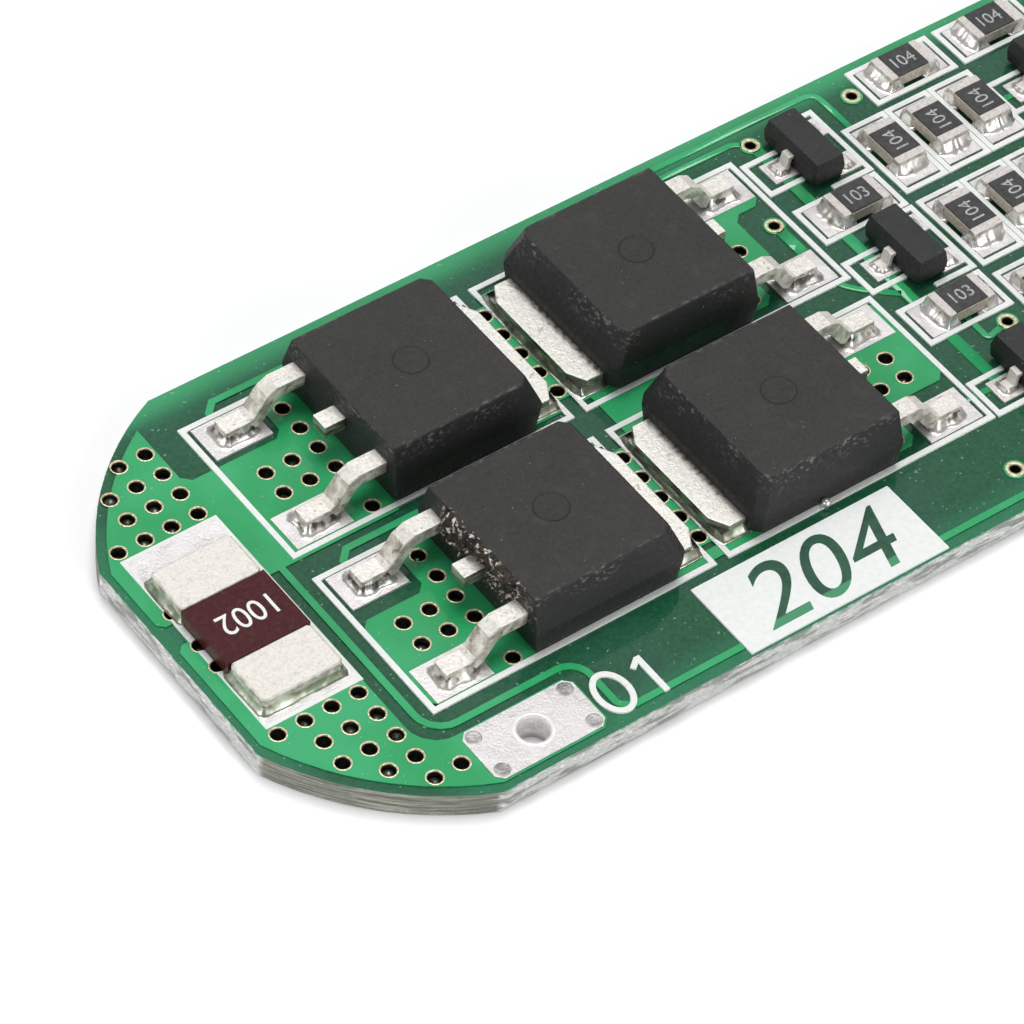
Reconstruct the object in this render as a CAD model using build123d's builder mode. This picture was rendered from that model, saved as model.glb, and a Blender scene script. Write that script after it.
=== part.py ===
"""Battery management board: a narrow scored circuit board with four power MOSFETs,
a current shunt and the small parts that watch and balance three cells.

Millimetres. X runs along the board, the shunt end is at -X, Z is up and the
underside rests on Z = 0.
"""

import os
from math import ceil, radians, sin, tan

from build123d import *

os.makedirs("parts", exist_ok=True)

# Board
board_length = 59.0
board_width = 19.76
laminate_thickness = 0.95
copper_thickness = 0.05
land_thickness = 0.04
print_thickness = 0.03
score_inset = 0.10
score_depth = 0.30
end_radius = 10.7
end_centre = 9.83
copper_edge_gap = 0.35
corner_round = 0.30
wide_chord = 91.0
fine_chord = 19.0
bold_radius = 0.60
corner_share = 0.49

# Plated holes
via_pitch = 1.016
via_radius = 0.25
via_sides = 5
land_hole_sides = 16
signal_via_radius = 0.20
source_via_x = -3.61
source_via_y = 2.27
source_via_step = 1.025
source_via_rows = ((0, 1, 2, 3, 5), (2, 3), (2, 3))
third_source_limit = 3
shunt_via_y = (1.74, 0.19, -0.83)
signal_via_places = (
    (27.66, 4.88),
    (29.40, 8.40),
    (33.92, 8.42),
    (31.48, -2.96),
    (27.36, -8.25),
    (38.60, -6.10),
    (47.20, -6.10),
    (46.60, 8.20),
    (52.30, 1.20),
)

# Shunt end
field_x = 0.94
upper_field_y = 4.785
upper_field_columns = ((0, 3), (1, 3), (1, 3), (2, 3))
lower_field_y = -4.12
lower_field_columns = ((0, 3), (1, 3), (1, 3), (2, 3), (3, 4))
upper_pour_bottom = 1.38
lower_pour_top = 0.50
neck_x = 4.38
neck_round = 1.1
sense_trace_x = 4.90
upper_pour_top = 9.30
upper_step_x = 4.35
upper_step_end = 8.24
upper_step_y = 6.07
mask_overlap = 0.07
trace_width = 0.25
sense_trace_y = -6.78
sense_turn_x = 10.47
sense_drop_y = -8.95
edge_trace_x = 10.85
edge_trace_end = 31.3
edge_trace_inset = 0.51
sense_turns = [0, 0.95, 0.75, 0.2, 0.2, 0]

# Copper areas round the power MOSFETs, from each one's own middle
source_pour_top = 2.75
source_pour_end = -2.71
source_pour_inlet = -4.21
source_pour_far = -6.86
source_pour_bottom = -3.18
source_inlet_y = 0.97
third_pour_far = -6.74
third_pour_bottom = -3.35
third_inlet_y = 1.20
third_neck_x = -5.42
third_neck_y = -1.17
gate_trace_x = -5.75
gate_trace_y = 3.78
gate_trace_start = 3.0
gate_trace_end = 0.5
gate_trace_turn = 0.42
tab_gap = 0.24
tab_bridge_margin = 0.38
drain_foot = 0.44
drain_bridge_x = 17.62

# Power MOSFETs, seated in two facing pairs
mosfet_pitch = 7.62
upper_mosfet_y = 4.80
tab_via_x = 16.86
tab_via_to_body = 4.40
body_length = 6.10
body_width = 6.45
body_height = 2.30
parting_height = 1.00
body_standoff = 0.04
lead_side_draft = 0.10
tab_side_draft = 0.55
flank_draft = 0.35
foot_draft = 0.10
tab_side_corner = 0.30
tab_thickness = 0.50
tab_width = 5.20
tab_reach = 0.96
tab_corner = 0.38
tab_corner_width = 0.65
tab_inside = 4.70
lead_pitch = 4.57
lead_width = 0.70
lead_thickness = 0.50
lead_rise = 1.00
lead_span = 3.03
shoulder_length = 1.15
ankle_run = 0.70
lead_bend = 0.36
lead_anchor = 0.80
stub_root = 1.30
stub_knee = 2.10
stub_length = 0.76
mosfet_frame_length = 11.20
mosfet_frame_width = 6.62
mosfet_frame_shift = -1.44
power_land_length = 2.20
power_land_width = 1.55
power_land_shift = -5.60
drain_land_length = 6.00
drain_land_width = 5.60
drain_land_reach = 4.14

# Current shunt
shunt_x = 2.50
shunt_y = -0.07
shunt_length = 6.35
shunt_width = 3.05
shunt_height = 0.60
shunt_terminal = 1.88
shunt_skin = 0.08
shunt_resin = 0.04
shunt_round = 0.12
shunt_edge_break = 0.064
shunt_frame_x = 2.575
shunt_frame_y = 0.31
shunt_frame_length = 8.18
shunt_frame_width = 3.67
shunt_land_length = 2.52
shunt_land_width = 3.36
shunt_land_span = 5.37

# Chip resistors and capacitors
chip_length = 2.00
chip_width = 1.25
chip_height = 0.50
chip_terminal = 0.32
chip_skin = 0.04
glaze_margin = 0.08
glaze_thickness = 0.06
fillet_run = 0.34
fillet_rise = 0.34
chip_land_length = 1.05
chip_land_width = 1.45
chip_land_span = 2.01
chip_frame_length = 3.65
chip_frame_width = 1.90
cap_length = 1.60
cap_width = 0.80
cap_height = 0.70
cap_terminal = 0.35
cap_skin = 0.02

# Small three-lead transistors and six-lead protection circuits
small_length = 2.90
small_width = 1.30
small_height = 1.05
small_standoff = 0.06
small_draft = 0.09
small_pitch = 0.95
small_lead_width = 0.42
small_lead_thickness = 0.15
small_lead_height = 0.55
small_lead_span = 1.22
small_foot = 0.36
small_lead_anchor = 0.20
small_shoulder = 0.12
small_land_reach = 1.55
small_land_length = 0.95
small_land_width = 0.86
single_land_length = 1.20
single_land_width = 1.00
circuit_land_width = 0.60
bracket_reach = 2.00
bracket_half = 0.77
bracket_inner = 0.57
bracket_far_reach = 1.65
bracket_far_half = 1.66
bracket_far_start = 1.15
circuit_line_reach = 1.90
circuit_line_half = 1.72

# Layout of the small parts, from the scored shunt end
small_column_x = 30.5
small_column_y = (6.88, 1.33, -5.30)
lone_chip_x = 30.38
lone_chip_y = (4.10, -1.50)
lone_chip_drift = 0.20
array_x = 33.4
array_pitch = 1.93
array_columns = 3
row_y = (5.40, 1.30, -2.80)
array_drift = 0.09
edge_chip_x = 36.2
edge_chip_y = 8.45
edge_chip_pitch = 3.95
edge_chip_count = 3
balance_x = 40.25
circuit_x = 44.9
filter_x = 48.2

# Wire pads
wire_pad_length = 4.26
wire_pad_width = 2.18
wire_pad_edge = 1.42
wire_hole_radius = 0.55
wire_pad_x = (7.65, 34.5, 43.5)
far_wire_pad = 7.65
pad_round = 0.24
output_land_size = 3.8
output_land_x = 4.6
output_land_y = (4.60, -2.40)
output_pour_left = 0.50
output_pour_inner = 0.60
output_pour_outer = 1.90

# Printed lines
print_width = 0.20
label_x = 19.28
label_inset = 0.08
label_length = 8.10
label_width = 3.17

laminate_top = laminate_thickness
copper_top = laminate_top + copper_thickness
land_top = copper_top + land_thickness
print_top = copper_top + print_thickness
near_edge = -board_length / 2 + score_inset
far_edge = board_length / 2 - score_inset
end_offset = board_length / 2 - end_centre
inner_width = board_width - 2 * score_inset
wire_pad_y = -inner_width / 2 + wire_pad_edge
edge_trace_y = -inner_width / 2 + edge_trace_inset
lower_mosfet_y = upper_mosfet_y - mosfet_pitch
left_mosfet_x = tab_via_x - tab_via_to_body
right_mosfet_x = tab_via_x + tab_via_to_body
body_half = body_length / 2


def along(distance):
    """X of a point that lies this far from the scored shunt end."""
    return near_edge + distance


def seat(x, y, turn=0):
    """Place of a soldered part, turned about Z."""
    return Location((x, y, 0), (0, 0, turn))


def shifted(spots, drift):
    """The same places, moved along each part's own length."""
    return [spot * Location((drift, 0, 0)) for spot in spots]


def lifted(spots):
    """The same places, raised onto the tinned lands."""
    return [Location((0, 0, land_top)) * spot for spot in spots]


def finish(name, part):
    """Label one finished piece and write it."""
    part.label = name
    export_step(part, f"parts/{name}.step")


def eased(points, radii, closed=False):
    """The same route with each corner cut back by short chords of an arc."""
    route = []
    for index, point in enumerate(points):
        radius = radii[index] if isinstance(radii, list) else radii
        here = Vector(*point)
        if not radius or (not closed and index in (0, len(points) - 1)):
            route.append(here)
            continue
        back = Vector(*points[index - 1]) - here
        ahead = Vector(*points[(index + 1) % len(points)]) - here
        shorter = min(back.length, ahead.length)
        back = back.normalized()
        ahead = ahead.normalized()
        half = radians(back.get_angle(ahead)) / 2
        radius = min(radius, corner_share * shorter * tan(half))
        centre = here + (back + ahead).normalized() * (radius / sin(half))
        start = here + back * (radius / tan(half)) - centre
        end = here + ahead * (radius / tan(half)) - centre
        steps = ceil(start.get_angle(end) / (wide_chord if radius < bold_radius else fine_chord))
        for step in range(steps + 1):
            spoke = (start * (steps - step) + end * step).normalized() * radius
            route.append(centre + spoke)
    return route


def pour(points, radii=corner_round):
    """Add a filled area with rounded corners to the open sketch."""
    with BuildSketch(mode=Mode.PRIVATE) as area:
        with BuildLine():
            Polyline(*eased(points, radii, closed=True), close=True)
        make_face()
    add(area.sketch)


def soft_rectangle(length, width, radius):
    """Add a rectangle with rounded corners to the open sketch."""
    right = length / 2
    top = width / 2
    pour([(-right, -top), (right, -top), (right, top), (-right, top)], radius)


def stroke(points, width, radii=0.0):
    """Add a line of even width to the open sketch."""
    with BuildSketch(mode=Mode.PRIVATE) as line:
        with BuildLine():
            Polyline(*eased(points, radii))
        trace(line_width=width)
    add(line.sketch)


# Seats of the soldered parts
mosfet_seats = [
    seat(along(left_mosfet_x), upper_mosfet_y),
    seat(along(left_mosfet_x), lower_mosfet_y),
    seat(along(right_mosfet_x), upper_mosfet_y, 180),
    seat(along(right_mosfet_x), lower_mosfet_y, 180),
]
shunt_seat = seat(along(shunt_x), shunt_y, 90)
shunt_frame_seat = seat(along(shunt_frame_x), shunt_frame_y, 90)
lone_frames = [seat(along(lone_chip_x), y) for y in lone_chip_y]
array_frames = []
for y in row_y:
    for column in range(array_columns):
        array_frames.append(seat(along(array_x + column * array_pitch), y, 90))
edge_frames = []
for count in range(edge_chip_count):
    edge_frames.append(seat(along(edge_chip_x + count * edge_chip_pitch), edge_chip_y))
filter_frames = [seat(along(filter_x + array_pitch), y, 90) for y in row_y]
cap_frames = [seat(along(filter_x), y, 90) for y in row_y]
printed_chips = lone_frames + array_frames + edge_frames
chip_frames = printed_chips + filter_frames
small_seats = [seat(along(small_column_x), y) for y in small_column_y]
small_seats += [seat(along(balance_x), y) for y in row_y]
circuit_seats = [seat(along(circuit_x), y) for y in row_y]
wire_pads = [(along(x), wire_pad_y) for x in wire_pad_x]
wire_pads.append((far_edge - far_wire_pad, wire_pad_y))
output_lands = [(far_edge - output_land_x, y) for y in output_land_y]

# Centres of the current-carrying plated holes
vias = []
for start_y, out, columns in (
    (upper_field_y, 1, upper_field_columns),
    (lower_field_y, -1, lower_field_columns),
):
    for row, (first, last) in enumerate(columns):
        for column in range(first, last + 1):
            place_y = start_y + out * row * via_pitch
            vias.append((along(field_x + column * via_pitch), place_y))
for y in shunt_via_y:
    vias.append((along(field_x), y))
for spot in mosfet_seats:
    for column, rows in enumerate(source_via_rows):
        for row in rows:
            if spot is mosfet_seats[2] and column > 0 and column + row > third_source_limit:
                continue
            x = source_via_x - column * source_via_step
            place = spot * Location((x, source_via_y - row * via_pitch, 0))
            vias.append((place.position.X, place.position.Y))
for y in (upper_mosfet_y, lower_mosfet_y):
    for row in range(-2, 3):
        vias.append((along(tab_via_x), y + row * via_pitch))
signal_vias = [(along(x), y) for x, y in signal_via_places]

with BuildSketch() as board_outline:
    with Locations((-end_offset, 0), (end_offset, 0)):
        Circle(end_radius)
    Rectangle(2 * end_offset, 2 * end_radius)
    Rectangle(board_length, board_width, mode=Mode.INTERSECT)

with BuildSketch() as copper_limit:
    with Locations((-end_offset, 0), (end_offset, 0)):
        Circle(end_radius - copper_edge_gap)
    Rectangle(2 * end_offset, 2 * end_radius)
    Rectangle(board_length - 2 * copper_edge_gap, inner_width - copper_edge_gap, mode=Mode.INTERSECT)

# Lands that stand on bare laminate
with BuildSketch() as island_lands:
    with Locations(*mosfet_seats):
        with Locations((power_land_shift, lead_pitch / 2)):
            Rectangle(power_land_length, power_land_width)
    with Locations(*chip_frames, *cap_frames):
        with GridLocations(chip_land_span, 0, 2, 1):
            Rectangle(chip_land_length, chip_land_width)
    with Locations(*small_seats):
        with Locations((-small_land_reach + single_land_length / 2, 0)):
            Rectangle(single_land_length, single_land_width)
        with Locations((small_land_reach - small_land_length / 2, 0)):
            with GridLocations(0, 2 * small_pitch, 1, 2):
                Rectangle(small_land_length, small_land_width)
    with Locations(*circuit_seats):
        with GridLocations(2 * small_land_reach - small_land_length, small_pitch, 2, 3):
            Rectangle(small_land_length, circuit_land_width)

# Lands that open in the mask over a copper area
with BuildSketch() as pour_lands:
    with Locations(*mosfet_seats):
        with Locations((power_land_shift, -lead_pitch / 2)):
            Rectangle(power_land_length, power_land_width)
        with Locations((drain_land_reach - drain_land_length / 2, 0)):
            Rectangle(drain_land_length, drain_land_width)
    with Locations(shunt_frame_seat):
        with GridLocations(shunt_land_span, 0, 2, 1):
            Rectangle(shunt_land_length, shunt_land_width)
    with Locations(*output_lands):
        Rectangle(output_land_size, output_land_size)

with BuildSketch() as wire_lands:
    with Locations(*wire_pads):
        soft_rectangle(wire_pad_length, wire_pad_width, pad_round)
    with Locations(*wire_pads):
        RegularPolygon(wire_hole_radius, land_hole_sides, major_radius=False, mode=Mode.SUBTRACT)

near_x = near_edge + copper_edge_gap / 2
drain_half = drain_land_width / 2 + mask_overlap
drain_left = left_mosfet_x + drain_land_reach - drain_land_length - mask_overlap
drain_right = right_mosfet_x - drain_land_reach + drain_land_length + mask_overlap
trench_x = along(left_mosfet_x + source_pour_end)
with BuildSketch() as copper:
    # Shunt end, upper area, run into the first source
    pour(
        [
            (near_x, upper_pour_bottom),
            (near_x, upper_pour_top),
            (along(upper_step_x), upper_pour_top),
            (along(upper_step_x), upper_step_y),
            (along(upper_step_end), upper_step_y),
            (along(upper_step_end), upper_mosfet_y + source_pour_top),
            (trench_x, upper_mosfet_y + source_pour_top),
            (trench_x, upper_pour_bottom),
        ]
    )
    # Shunt end, lower area, run under the first wire pad
    pad_right = wire_pads[0][0] + wire_pad_length / 2 + mask_overlap
    pad_top = wire_pad_y + wire_pad_width / 2 + mask_overlap
    pad_bottom = wire_pad_y - wire_pad_width / 2 - mask_overlap
    pour(
        [
            (near_x, lower_pour_top),
            (along(neck_x), lower_pour_top),
            (along(neck_x), pad_top),
            (pad_right, pad_top),
            (pad_right, pad_bottom),
            (near_x, pad_bottom),
        ],
        [corner_round, corner_round, neck_round, corner_round, corner_round, corner_round],
    )
    # Second and fourth source, each with an inlet left free round its gate land
    with Locations(mosfet_seats[1], mosfet_seats[3]):
        pour(
            [
                (source_pour_far, source_pour_bottom),
                (source_pour_far, source_inlet_y),
                (source_pour_inlet, source_inlet_y),
                (source_pour_inlet, source_pour_top),
                (source_pour_end, source_pour_top),
                (source_pour_end, source_pour_bottom),
            ]
        )
    # Third source, cut back round its gate hole
    with Locations(mosfet_seats[2]):
        pour(
            [
                (third_pour_far, third_pour_bottom),
                (source_pour_end, third_pour_bottom),
                (source_pour_end, source_pour_top),
                (source_pour_inlet, source_pour_top),
                (source_pour_inlet, third_inlet_y),
                (third_neck_x, third_inlet_y),
                (third_neck_x, third_neck_y),
                (third_pour_far, third_neck_y),
            ]
        )
    # Drains, joined in facing pairs and to each other on the right
    for y in (upper_mosfet_y, lower_mosfet_y):
        with Locations((along(tab_via_x), y)):
            Rectangle(drain_right - drain_left, 2 * drain_half)
            Rectangle(2 * tab_gap, 2 * drain_half, mode=Mode.SUBTRACT)
            Rectangle(2 * tab_gap, 4 * via_pitch + 2 * tab_bridge_margin)
    drain_middle = along((drain_left + drain_right) / 2)
    with Locations((drain_middle, lower_mosfet_y - drain_half)):
        Rectangle(drain_right - drain_left, drain_foot)
    bridge_middle = along((drain_bridge_x + drain_right) / 2)
    with Locations((bridge_middle, (upper_mosfet_y + lower_mosfet_y) / 2)):
        Rectangle(drain_right - drain_bridge_x, mosfet_pitch - 2 * drain_half + mask_overlap)
    # Far end, one area for each output land
    for x, y in output_lands:
        out = 1 if y > 0 else -1
        left = x - output_land_size / 2 - output_pour_left
        inner = y - out * (output_land_size / 2 + output_pour_inner)
        outer = y + out * (output_land_size / 2 + output_pour_outer)
        pour([(left, inner), (far_edge, inner), (far_edge, outer), (left, outer)])
    add(copper_limit.sketch, mode=Mode.INTERSECT)
    # Pads of the other wires
    with Locations(*wire_pads[1:]):
        soft_rectangle(
            wire_pad_length + 2 * mask_overlap, wire_pad_width + 2 * mask_overlap, corner_round
        )
    # Sense line, from the upper area round the wire pad to the far cells
    stroke(
        [
            (along(sense_trace_x), upper_pour_bottom + mask_overlap),
            (along(sense_trace_x), sense_trace_y),
            (along(sense_turn_x), sense_trace_y),
            (along(sense_turn_x), sense_drop_y),
            (along(edge_trace_x), edge_trace_y),
            (along(edge_trace_end), edge_trace_y),
        ],
        trace_width,
        sense_turns,
    )
    # Gate lines of the first two transistors, ending under their bodies
    with Locations(*mosfet_seats[:2]):
        stroke(
            [
                (gate_trace_x, gate_trace_start),
                (gate_trace_x, gate_trace_y),
                (gate_trace_end, gate_trace_y),
            ],
            trace_width,
            gate_trace_turn,
        )
    add(island_lands.sketch, mode=Mode.SUBTRACT)

with BuildSketch() as bottom_pockets:
    with Locations(*wire_pads):
        Rectangle(wire_pad_length, wire_pad_width)
    with Locations(*output_lands):
        Rectangle(output_land_size, output_land_size)

with BuildSketch() as plated_holes:
    with Locations(*vias):
        RegularPolygon(via_radius, via_sides, major_radius=False)
    with Locations(*signal_vias):
        RegularPolygon(signal_via_radius, via_sides, major_radius=False)
    with Locations(*wire_pads):
        Circle(wire_hole_radius)

with BuildPart() as circuit_board:
    add(board_outline.sketch)
    extrude(amount=laminate_thickness)
    # Snapped score lines along the straight edges
    for plane, half in ((Plane.YZ, board_width / 2), (Plane.XZ, board_length / 2)):
        with BuildSketch(plane):
            with BuildLine():
                Polyline(
                    (-half, score_depth),
                    (score_inset - half, 0),
                    (half - score_inset, 0),
                    (half, score_depth),
                    (half, laminate_top - score_depth),
                    (half - score_inset, laminate_top),
                    (score_inset - half, laminate_top),
                    (-half, laminate_top - score_depth),
                    close=True,
                )
            make_face()
        extrude(amount=board_length, both=True, mode=Mode.INTERSECT)
    with BuildSketch(Plane.XY.offset(laminate_top)):
        add(copper.sketch)
    extrude(amount=copper_thickness)
    with BuildSketch():
        add(plated_holes.sketch)
    extrude(amount=copper_top, mode=Mode.SUBTRACT)
    with BuildSketch():
        add(bottom_pockets.sketch)
    extrude(amount=land_thickness, mode=Mode.SUBTRACT)
finish("circuit_board", circuit_board.part)

with BuildPart() as solder_lands_top:
    with BuildSketch(Plane.XY.offset(laminate_top)):
        add(island_lands.sketch)
    extrude(amount=land_top - laminate_top)
    with BuildSketch(Plane.XY.offset(copper_top)):
        add(pour_lands.sketch)
        add(plated_holes.sketch, mode=Mode.SUBTRACT)
        add(wire_lands.sketch)
    extrude(amount=land_thickness)
finish("solder_lands_top", solder_lands_top.part)

with BuildPart() as solder_lands_bottom:
    with BuildSketch():
        add(bottom_pockets.sketch)
        with Locations(*wire_pads):
            RegularPolygon(
                wire_hole_radius, land_hole_sides, major_radius=False, mode=Mode.SUBTRACT
            )
    extrude(amount=land_thickness)
finish("solder_lands_bottom", solder_lands_bottom.part)

# Printed label field, and printed frames round the parts
with BuildSketch() as label_area:
    with Locations((along(label_x), label_inset + label_width / 2 - inner_width / 2)):
        Rectangle(label_length, label_width)

frames = (
    (shifted(mosfet_seats, mosfet_frame_shift), mosfet_frame_length, mosfet_frame_width),
    ([shunt_frame_seat], shunt_frame_length, shunt_frame_width),
    (printed_chips, chip_frame_length, chip_frame_width),
)
with BuildSketch() as printed_lines:
    for inset, mode in ((0, Mode.ADD), (print_width, Mode.SUBTRACT)):
        for spots, length, width in frames:
            with Locations(*spots):
                Rectangle(length - 2 * inset, width - 2 * inset, mode=mode)
    with Locations(*small_seats):
        stroke(
            [
                (-bracket_inner, bracket_half),
                (-bracket_reach, bracket_half),
                (-bracket_reach, -bracket_half),
                (-bracket_inner, -bracket_half),
            ],
            print_width,
        )
        stroke(
            [
                (bracket_far_start, bracket_far_half),
                (bracket_far_reach, bracket_far_half),
                (bracket_far_reach, -bracket_far_half),
                (0, -bracket_far_half),
            ],
            print_width,
        )
    with Locations(*circuit_seats):
        with GridLocations(0, 2 * circuit_line_half, 1, 2):
            Rectangle(2 * circuit_line_reach, print_width)
    for spread in (island_lands, pour_lands, wire_lands, plated_holes, label_area):
        add(spread.sketch, mode=Mode.SUBTRACT)

for name, area in (("legend_print", printed_lines), ("label_field", label_area)):
    with BuildPart() as printed:
        with BuildSketch(Plane.XY.offset(laminate_top)):
            add(area.sketch)
        extrude(amount=print_top - laminate_top)
        with BuildSketch(Plane.XY.offset(laminate_top)):
            add(copper.sketch)
        extrude(amount=copper_thickness, mode=Mode.SUBTRACT)
    finish(name, printed.part)

# Power transistor: drain tab with its short middle lead, one outer lead, body
with BuildPart() as mosfet_tab:
    tab_end = body_half + tab_reach
    with BuildSketch():
        with BuildLine():
            Polyline(
                (tab_end - tab_inside - tab_reach, tab_width / 2),
                (tab_end - tab_corner, tab_width / 2),
                (tab_end, tab_width / 2 - tab_corner_width),
                (tab_end, -tab_width / 2 + tab_corner_width),
                (tab_end - tab_corner, -tab_width / 2),
                (tab_end - tab_inside - tab_reach, -tab_width / 2),
                close=True,
            )
        make_face()
    extrude(amount=tab_thickness)
    with BuildSketch(Plane.XZ):
        with BuildLine():
            Polyline(
                (-stub_root, tab_thickness / 2),
                (-stub_knee, lead_rise + lead_thickness / 2),
                (-body_half - stub_length, lead_rise + lead_thickness / 2),
            )
        trace(line_width=lead_thickness)
    extrude(amount=lead_width / 2, both=True)

with BuildPart() as mosfet_lead:
    shoulder = -body_half - shoulder_length
    with BuildSketch(Plane.XZ):
        with BuildLine():
            lead_route = [
                (lead_anchor - body_half, lead_rise + lead_thickness / 2),
                (shoulder, lead_rise + lead_thickness / 2),
                (shoulder - ankle_run, lead_thickness / 2),
                (-body_half - lead_span, lead_thickness / 2),
            ]
            Polyline(*eased(lead_route, lead_bend))
        trace(line_width=lead_thickness)
    extrude(amount=lead_width / 2, both=True)

with BuildPart() as mosfet_body:
    sections = (
        (body_standoff, foot_draft, foot_draft, foot_draft),
        (parting_height, 0, 0, 0),
        (body_height, lead_side_draft, tab_side_draft, flank_draft),
    )
    for lower, upper in zip(sections, sections[1:]):
        for height, back, front, flank in (lower, upper):
            with BuildSketch(Plane.XY.offset(height)):
                left = back - body_half
                right = body_half - front
                edge = body_width / 2 - flank
                pour(
                    [(left, -edge), (right, -edge), (right, edge), (left, edge)],
                    [0, tab_side_corner, tab_side_corner, 0],
                )
        loft(ruled=True)
    add(mosfet_tab.part, mode=Mode.SUBTRACT)
    with Locations((0, lead_pitch / 2), (0, -lead_pitch / 2)):
        add(mosfet_lead.part, mode=Mode.SUBTRACT)

for number, spot in enumerate(lifted(mosfet_seats), start=1):
    outer = lead_pitch / 2
    finish(f"mosfet_{number}_body", mosfet_body.part.moved(spot))
    finish(f"mosfet_{number}_tab", mosfet_tab.part.moved(spot))
    finish(f"mosfet_{number}_gate_lead", mosfet_lead.part.moved(spot * Location((0, outer, 0))))
    finish(f"mosfet_{number}_source_lead", mosfet_lead.part.moved(spot * Location((0, -outer, 0))))

# Current shunt: a resistive strip in resin between two tinned caps
with BuildPart() as shunt_strip:
    with Locations((0, 0, shunt_skin)):
        Box(
            shunt_length - 2 * shunt_skin,
            shunt_width - 2 * shunt_skin,
            shunt_height - 2 * shunt_skin,
            align=(Align.CENTER, Align.CENTER, Align.MIN),
        )

with BuildPart() as shunt_terminal_pair:
    with BuildSketch():
        with GridLocations(shunt_length - shunt_terminal, 0, 2, 1):
            Rectangle(shunt_terminal, shunt_width)
    extrude(amount=shunt_height)
    chamfer(shunt_terminal_pair.edges().filter_by(Axis.Z), shunt_round)
    chamfer(shunt_terminal_pair.edges().group_by(Axis.Z)[-1], shunt_edge_break)
    add(shunt_strip.part, mode=Mode.SUBTRACT)

with BuildPart() as shunt_element:
    add(shunt_strip.part)
    with BuildSketch(Plane.XY.offset(shunt_resin)):
        Rectangle(shunt_length - 2 * shunt_terminal, shunt_width + 2 * shunt_resin)
    extrude(amount=shunt_height - shunt_resin)

# Chip resistor: ceramic between two tinned ends, glaze, two solder fillets
with BuildPart() as chip_ceramic:
    with BuildSketch(Plane.XY.offset(chip_skin)):
        Rectangle(chip_length - 2 * chip_terminal, chip_width)
    extrude(amount=chip_height - 2 * chip_skin)

with BuildPart() as chip_ends:
    with BuildSketch():
        with GridLocations(chip_length - chip_terminal, 0, 2, 1):
            Rectangle(chip_terminal, chip_width)
    extrude(amount=chip_height)

with BuildPart() as chip_glaze:
    with BuildSketch(Plane.XY.offset(chip_height - chip_skin)):
        Rectangle(chip_length - 2 * chip_terminal, chip_width - glaze_margin)
    extrude(amount=glaze_thickness)

with BuildPart() as chip_fillets:
    for hand in (-1, 1):
        with BuildSketch(Plane.XZ):
            with BuildLine():
                Polyline(
                    (hand * chip_length / 2, 0),
                    (hand * (chip_length / 2 + fillet_run), 0),
                    (hand * chip_length / 2, fillet_rise),
                    close=True,
                )
            make_face()
        extrude(amount=chip_width / 2, both=True)

# Chip capacitor: ceramic body between two dipped ends
with BuildPart() as cap_body:
    with BuildSketch(Plane.XY.offset(cap_skin)):
        Rectangle(cap_length - 2 * cap_terminal, cap_width - 2 * cap_skin)
    extrude(amount=cap_height - 2 * cap_skin)

with BuildPart() as cap_ends:
    with BuildSketch():
        with GridLocations(cap_length - cap_terminal, 0, 2, 1):
            Rectangle(cap_terminal, cap_width)
    extrude(amount=cap_height)

# Small moulded body and its bent lead
with BuildPart() as small_lead:
    with BuildSketch(Plane.XZ):
        with BuildLine():
            Polyline(
                (small_width / 2 - small_lead_anchor, small_lead_height),
                (small_width / 2 + small_shoulder, small_lead_height),
                (small_lead_span - small_foot, small_lead_thickness / 2),
                (small_lead_span, small_lead_thickness / 2),
            )
        trace(line_width=small_lead_thickness)
    extrude(amount=small_lead_width / 2, both=True)

with BuildPart() as transistor_leads:
    with Locations(Location((0, 0, 0), (0, 0, 180))):
        add(small_lead.part)
    with Locations((0, small_pitch), (0, -small_pitch)):
        add(small_lead.part)

with BuildPart() as circuit_leads:
    for turn in (0, 180):
        for step in (-1, 0, 1):
            with Locations(Location((0, step * small_pitch, 0), (0, 0, turn))):
                add(small_lead.part)

with BuildPart() as small_body:
    with BuildSketch(Plane.XY.offset(small_lead_height)) as small_parting:
        Rectangle(small_width, small_length)
    with BuildSketch(Plane.XY.offset(small_height)):
        Rectangle(small_width - 2 * small_draft, small_length - 2 * small_draft)
    loft()
    with BuildSketch(Plane.XY.offset(small_standoff)):
        Rectangle(small_width - small_draft, small_length - small_draft)
    with BuildSketch(Plane.XY.offset(small_lead_height)):
        add(small_parting.sketch)
    loft()

with BuildPart() as transistor_body:
    add(small_body.part)
    add(transistor_leads.part, mode=Mode.SUBTRACT)

with BuildPart() as circuit_body:
    add(small_body.part)
    add(circuit_leads.part, mode=Mode.SUBTRACT)

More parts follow.
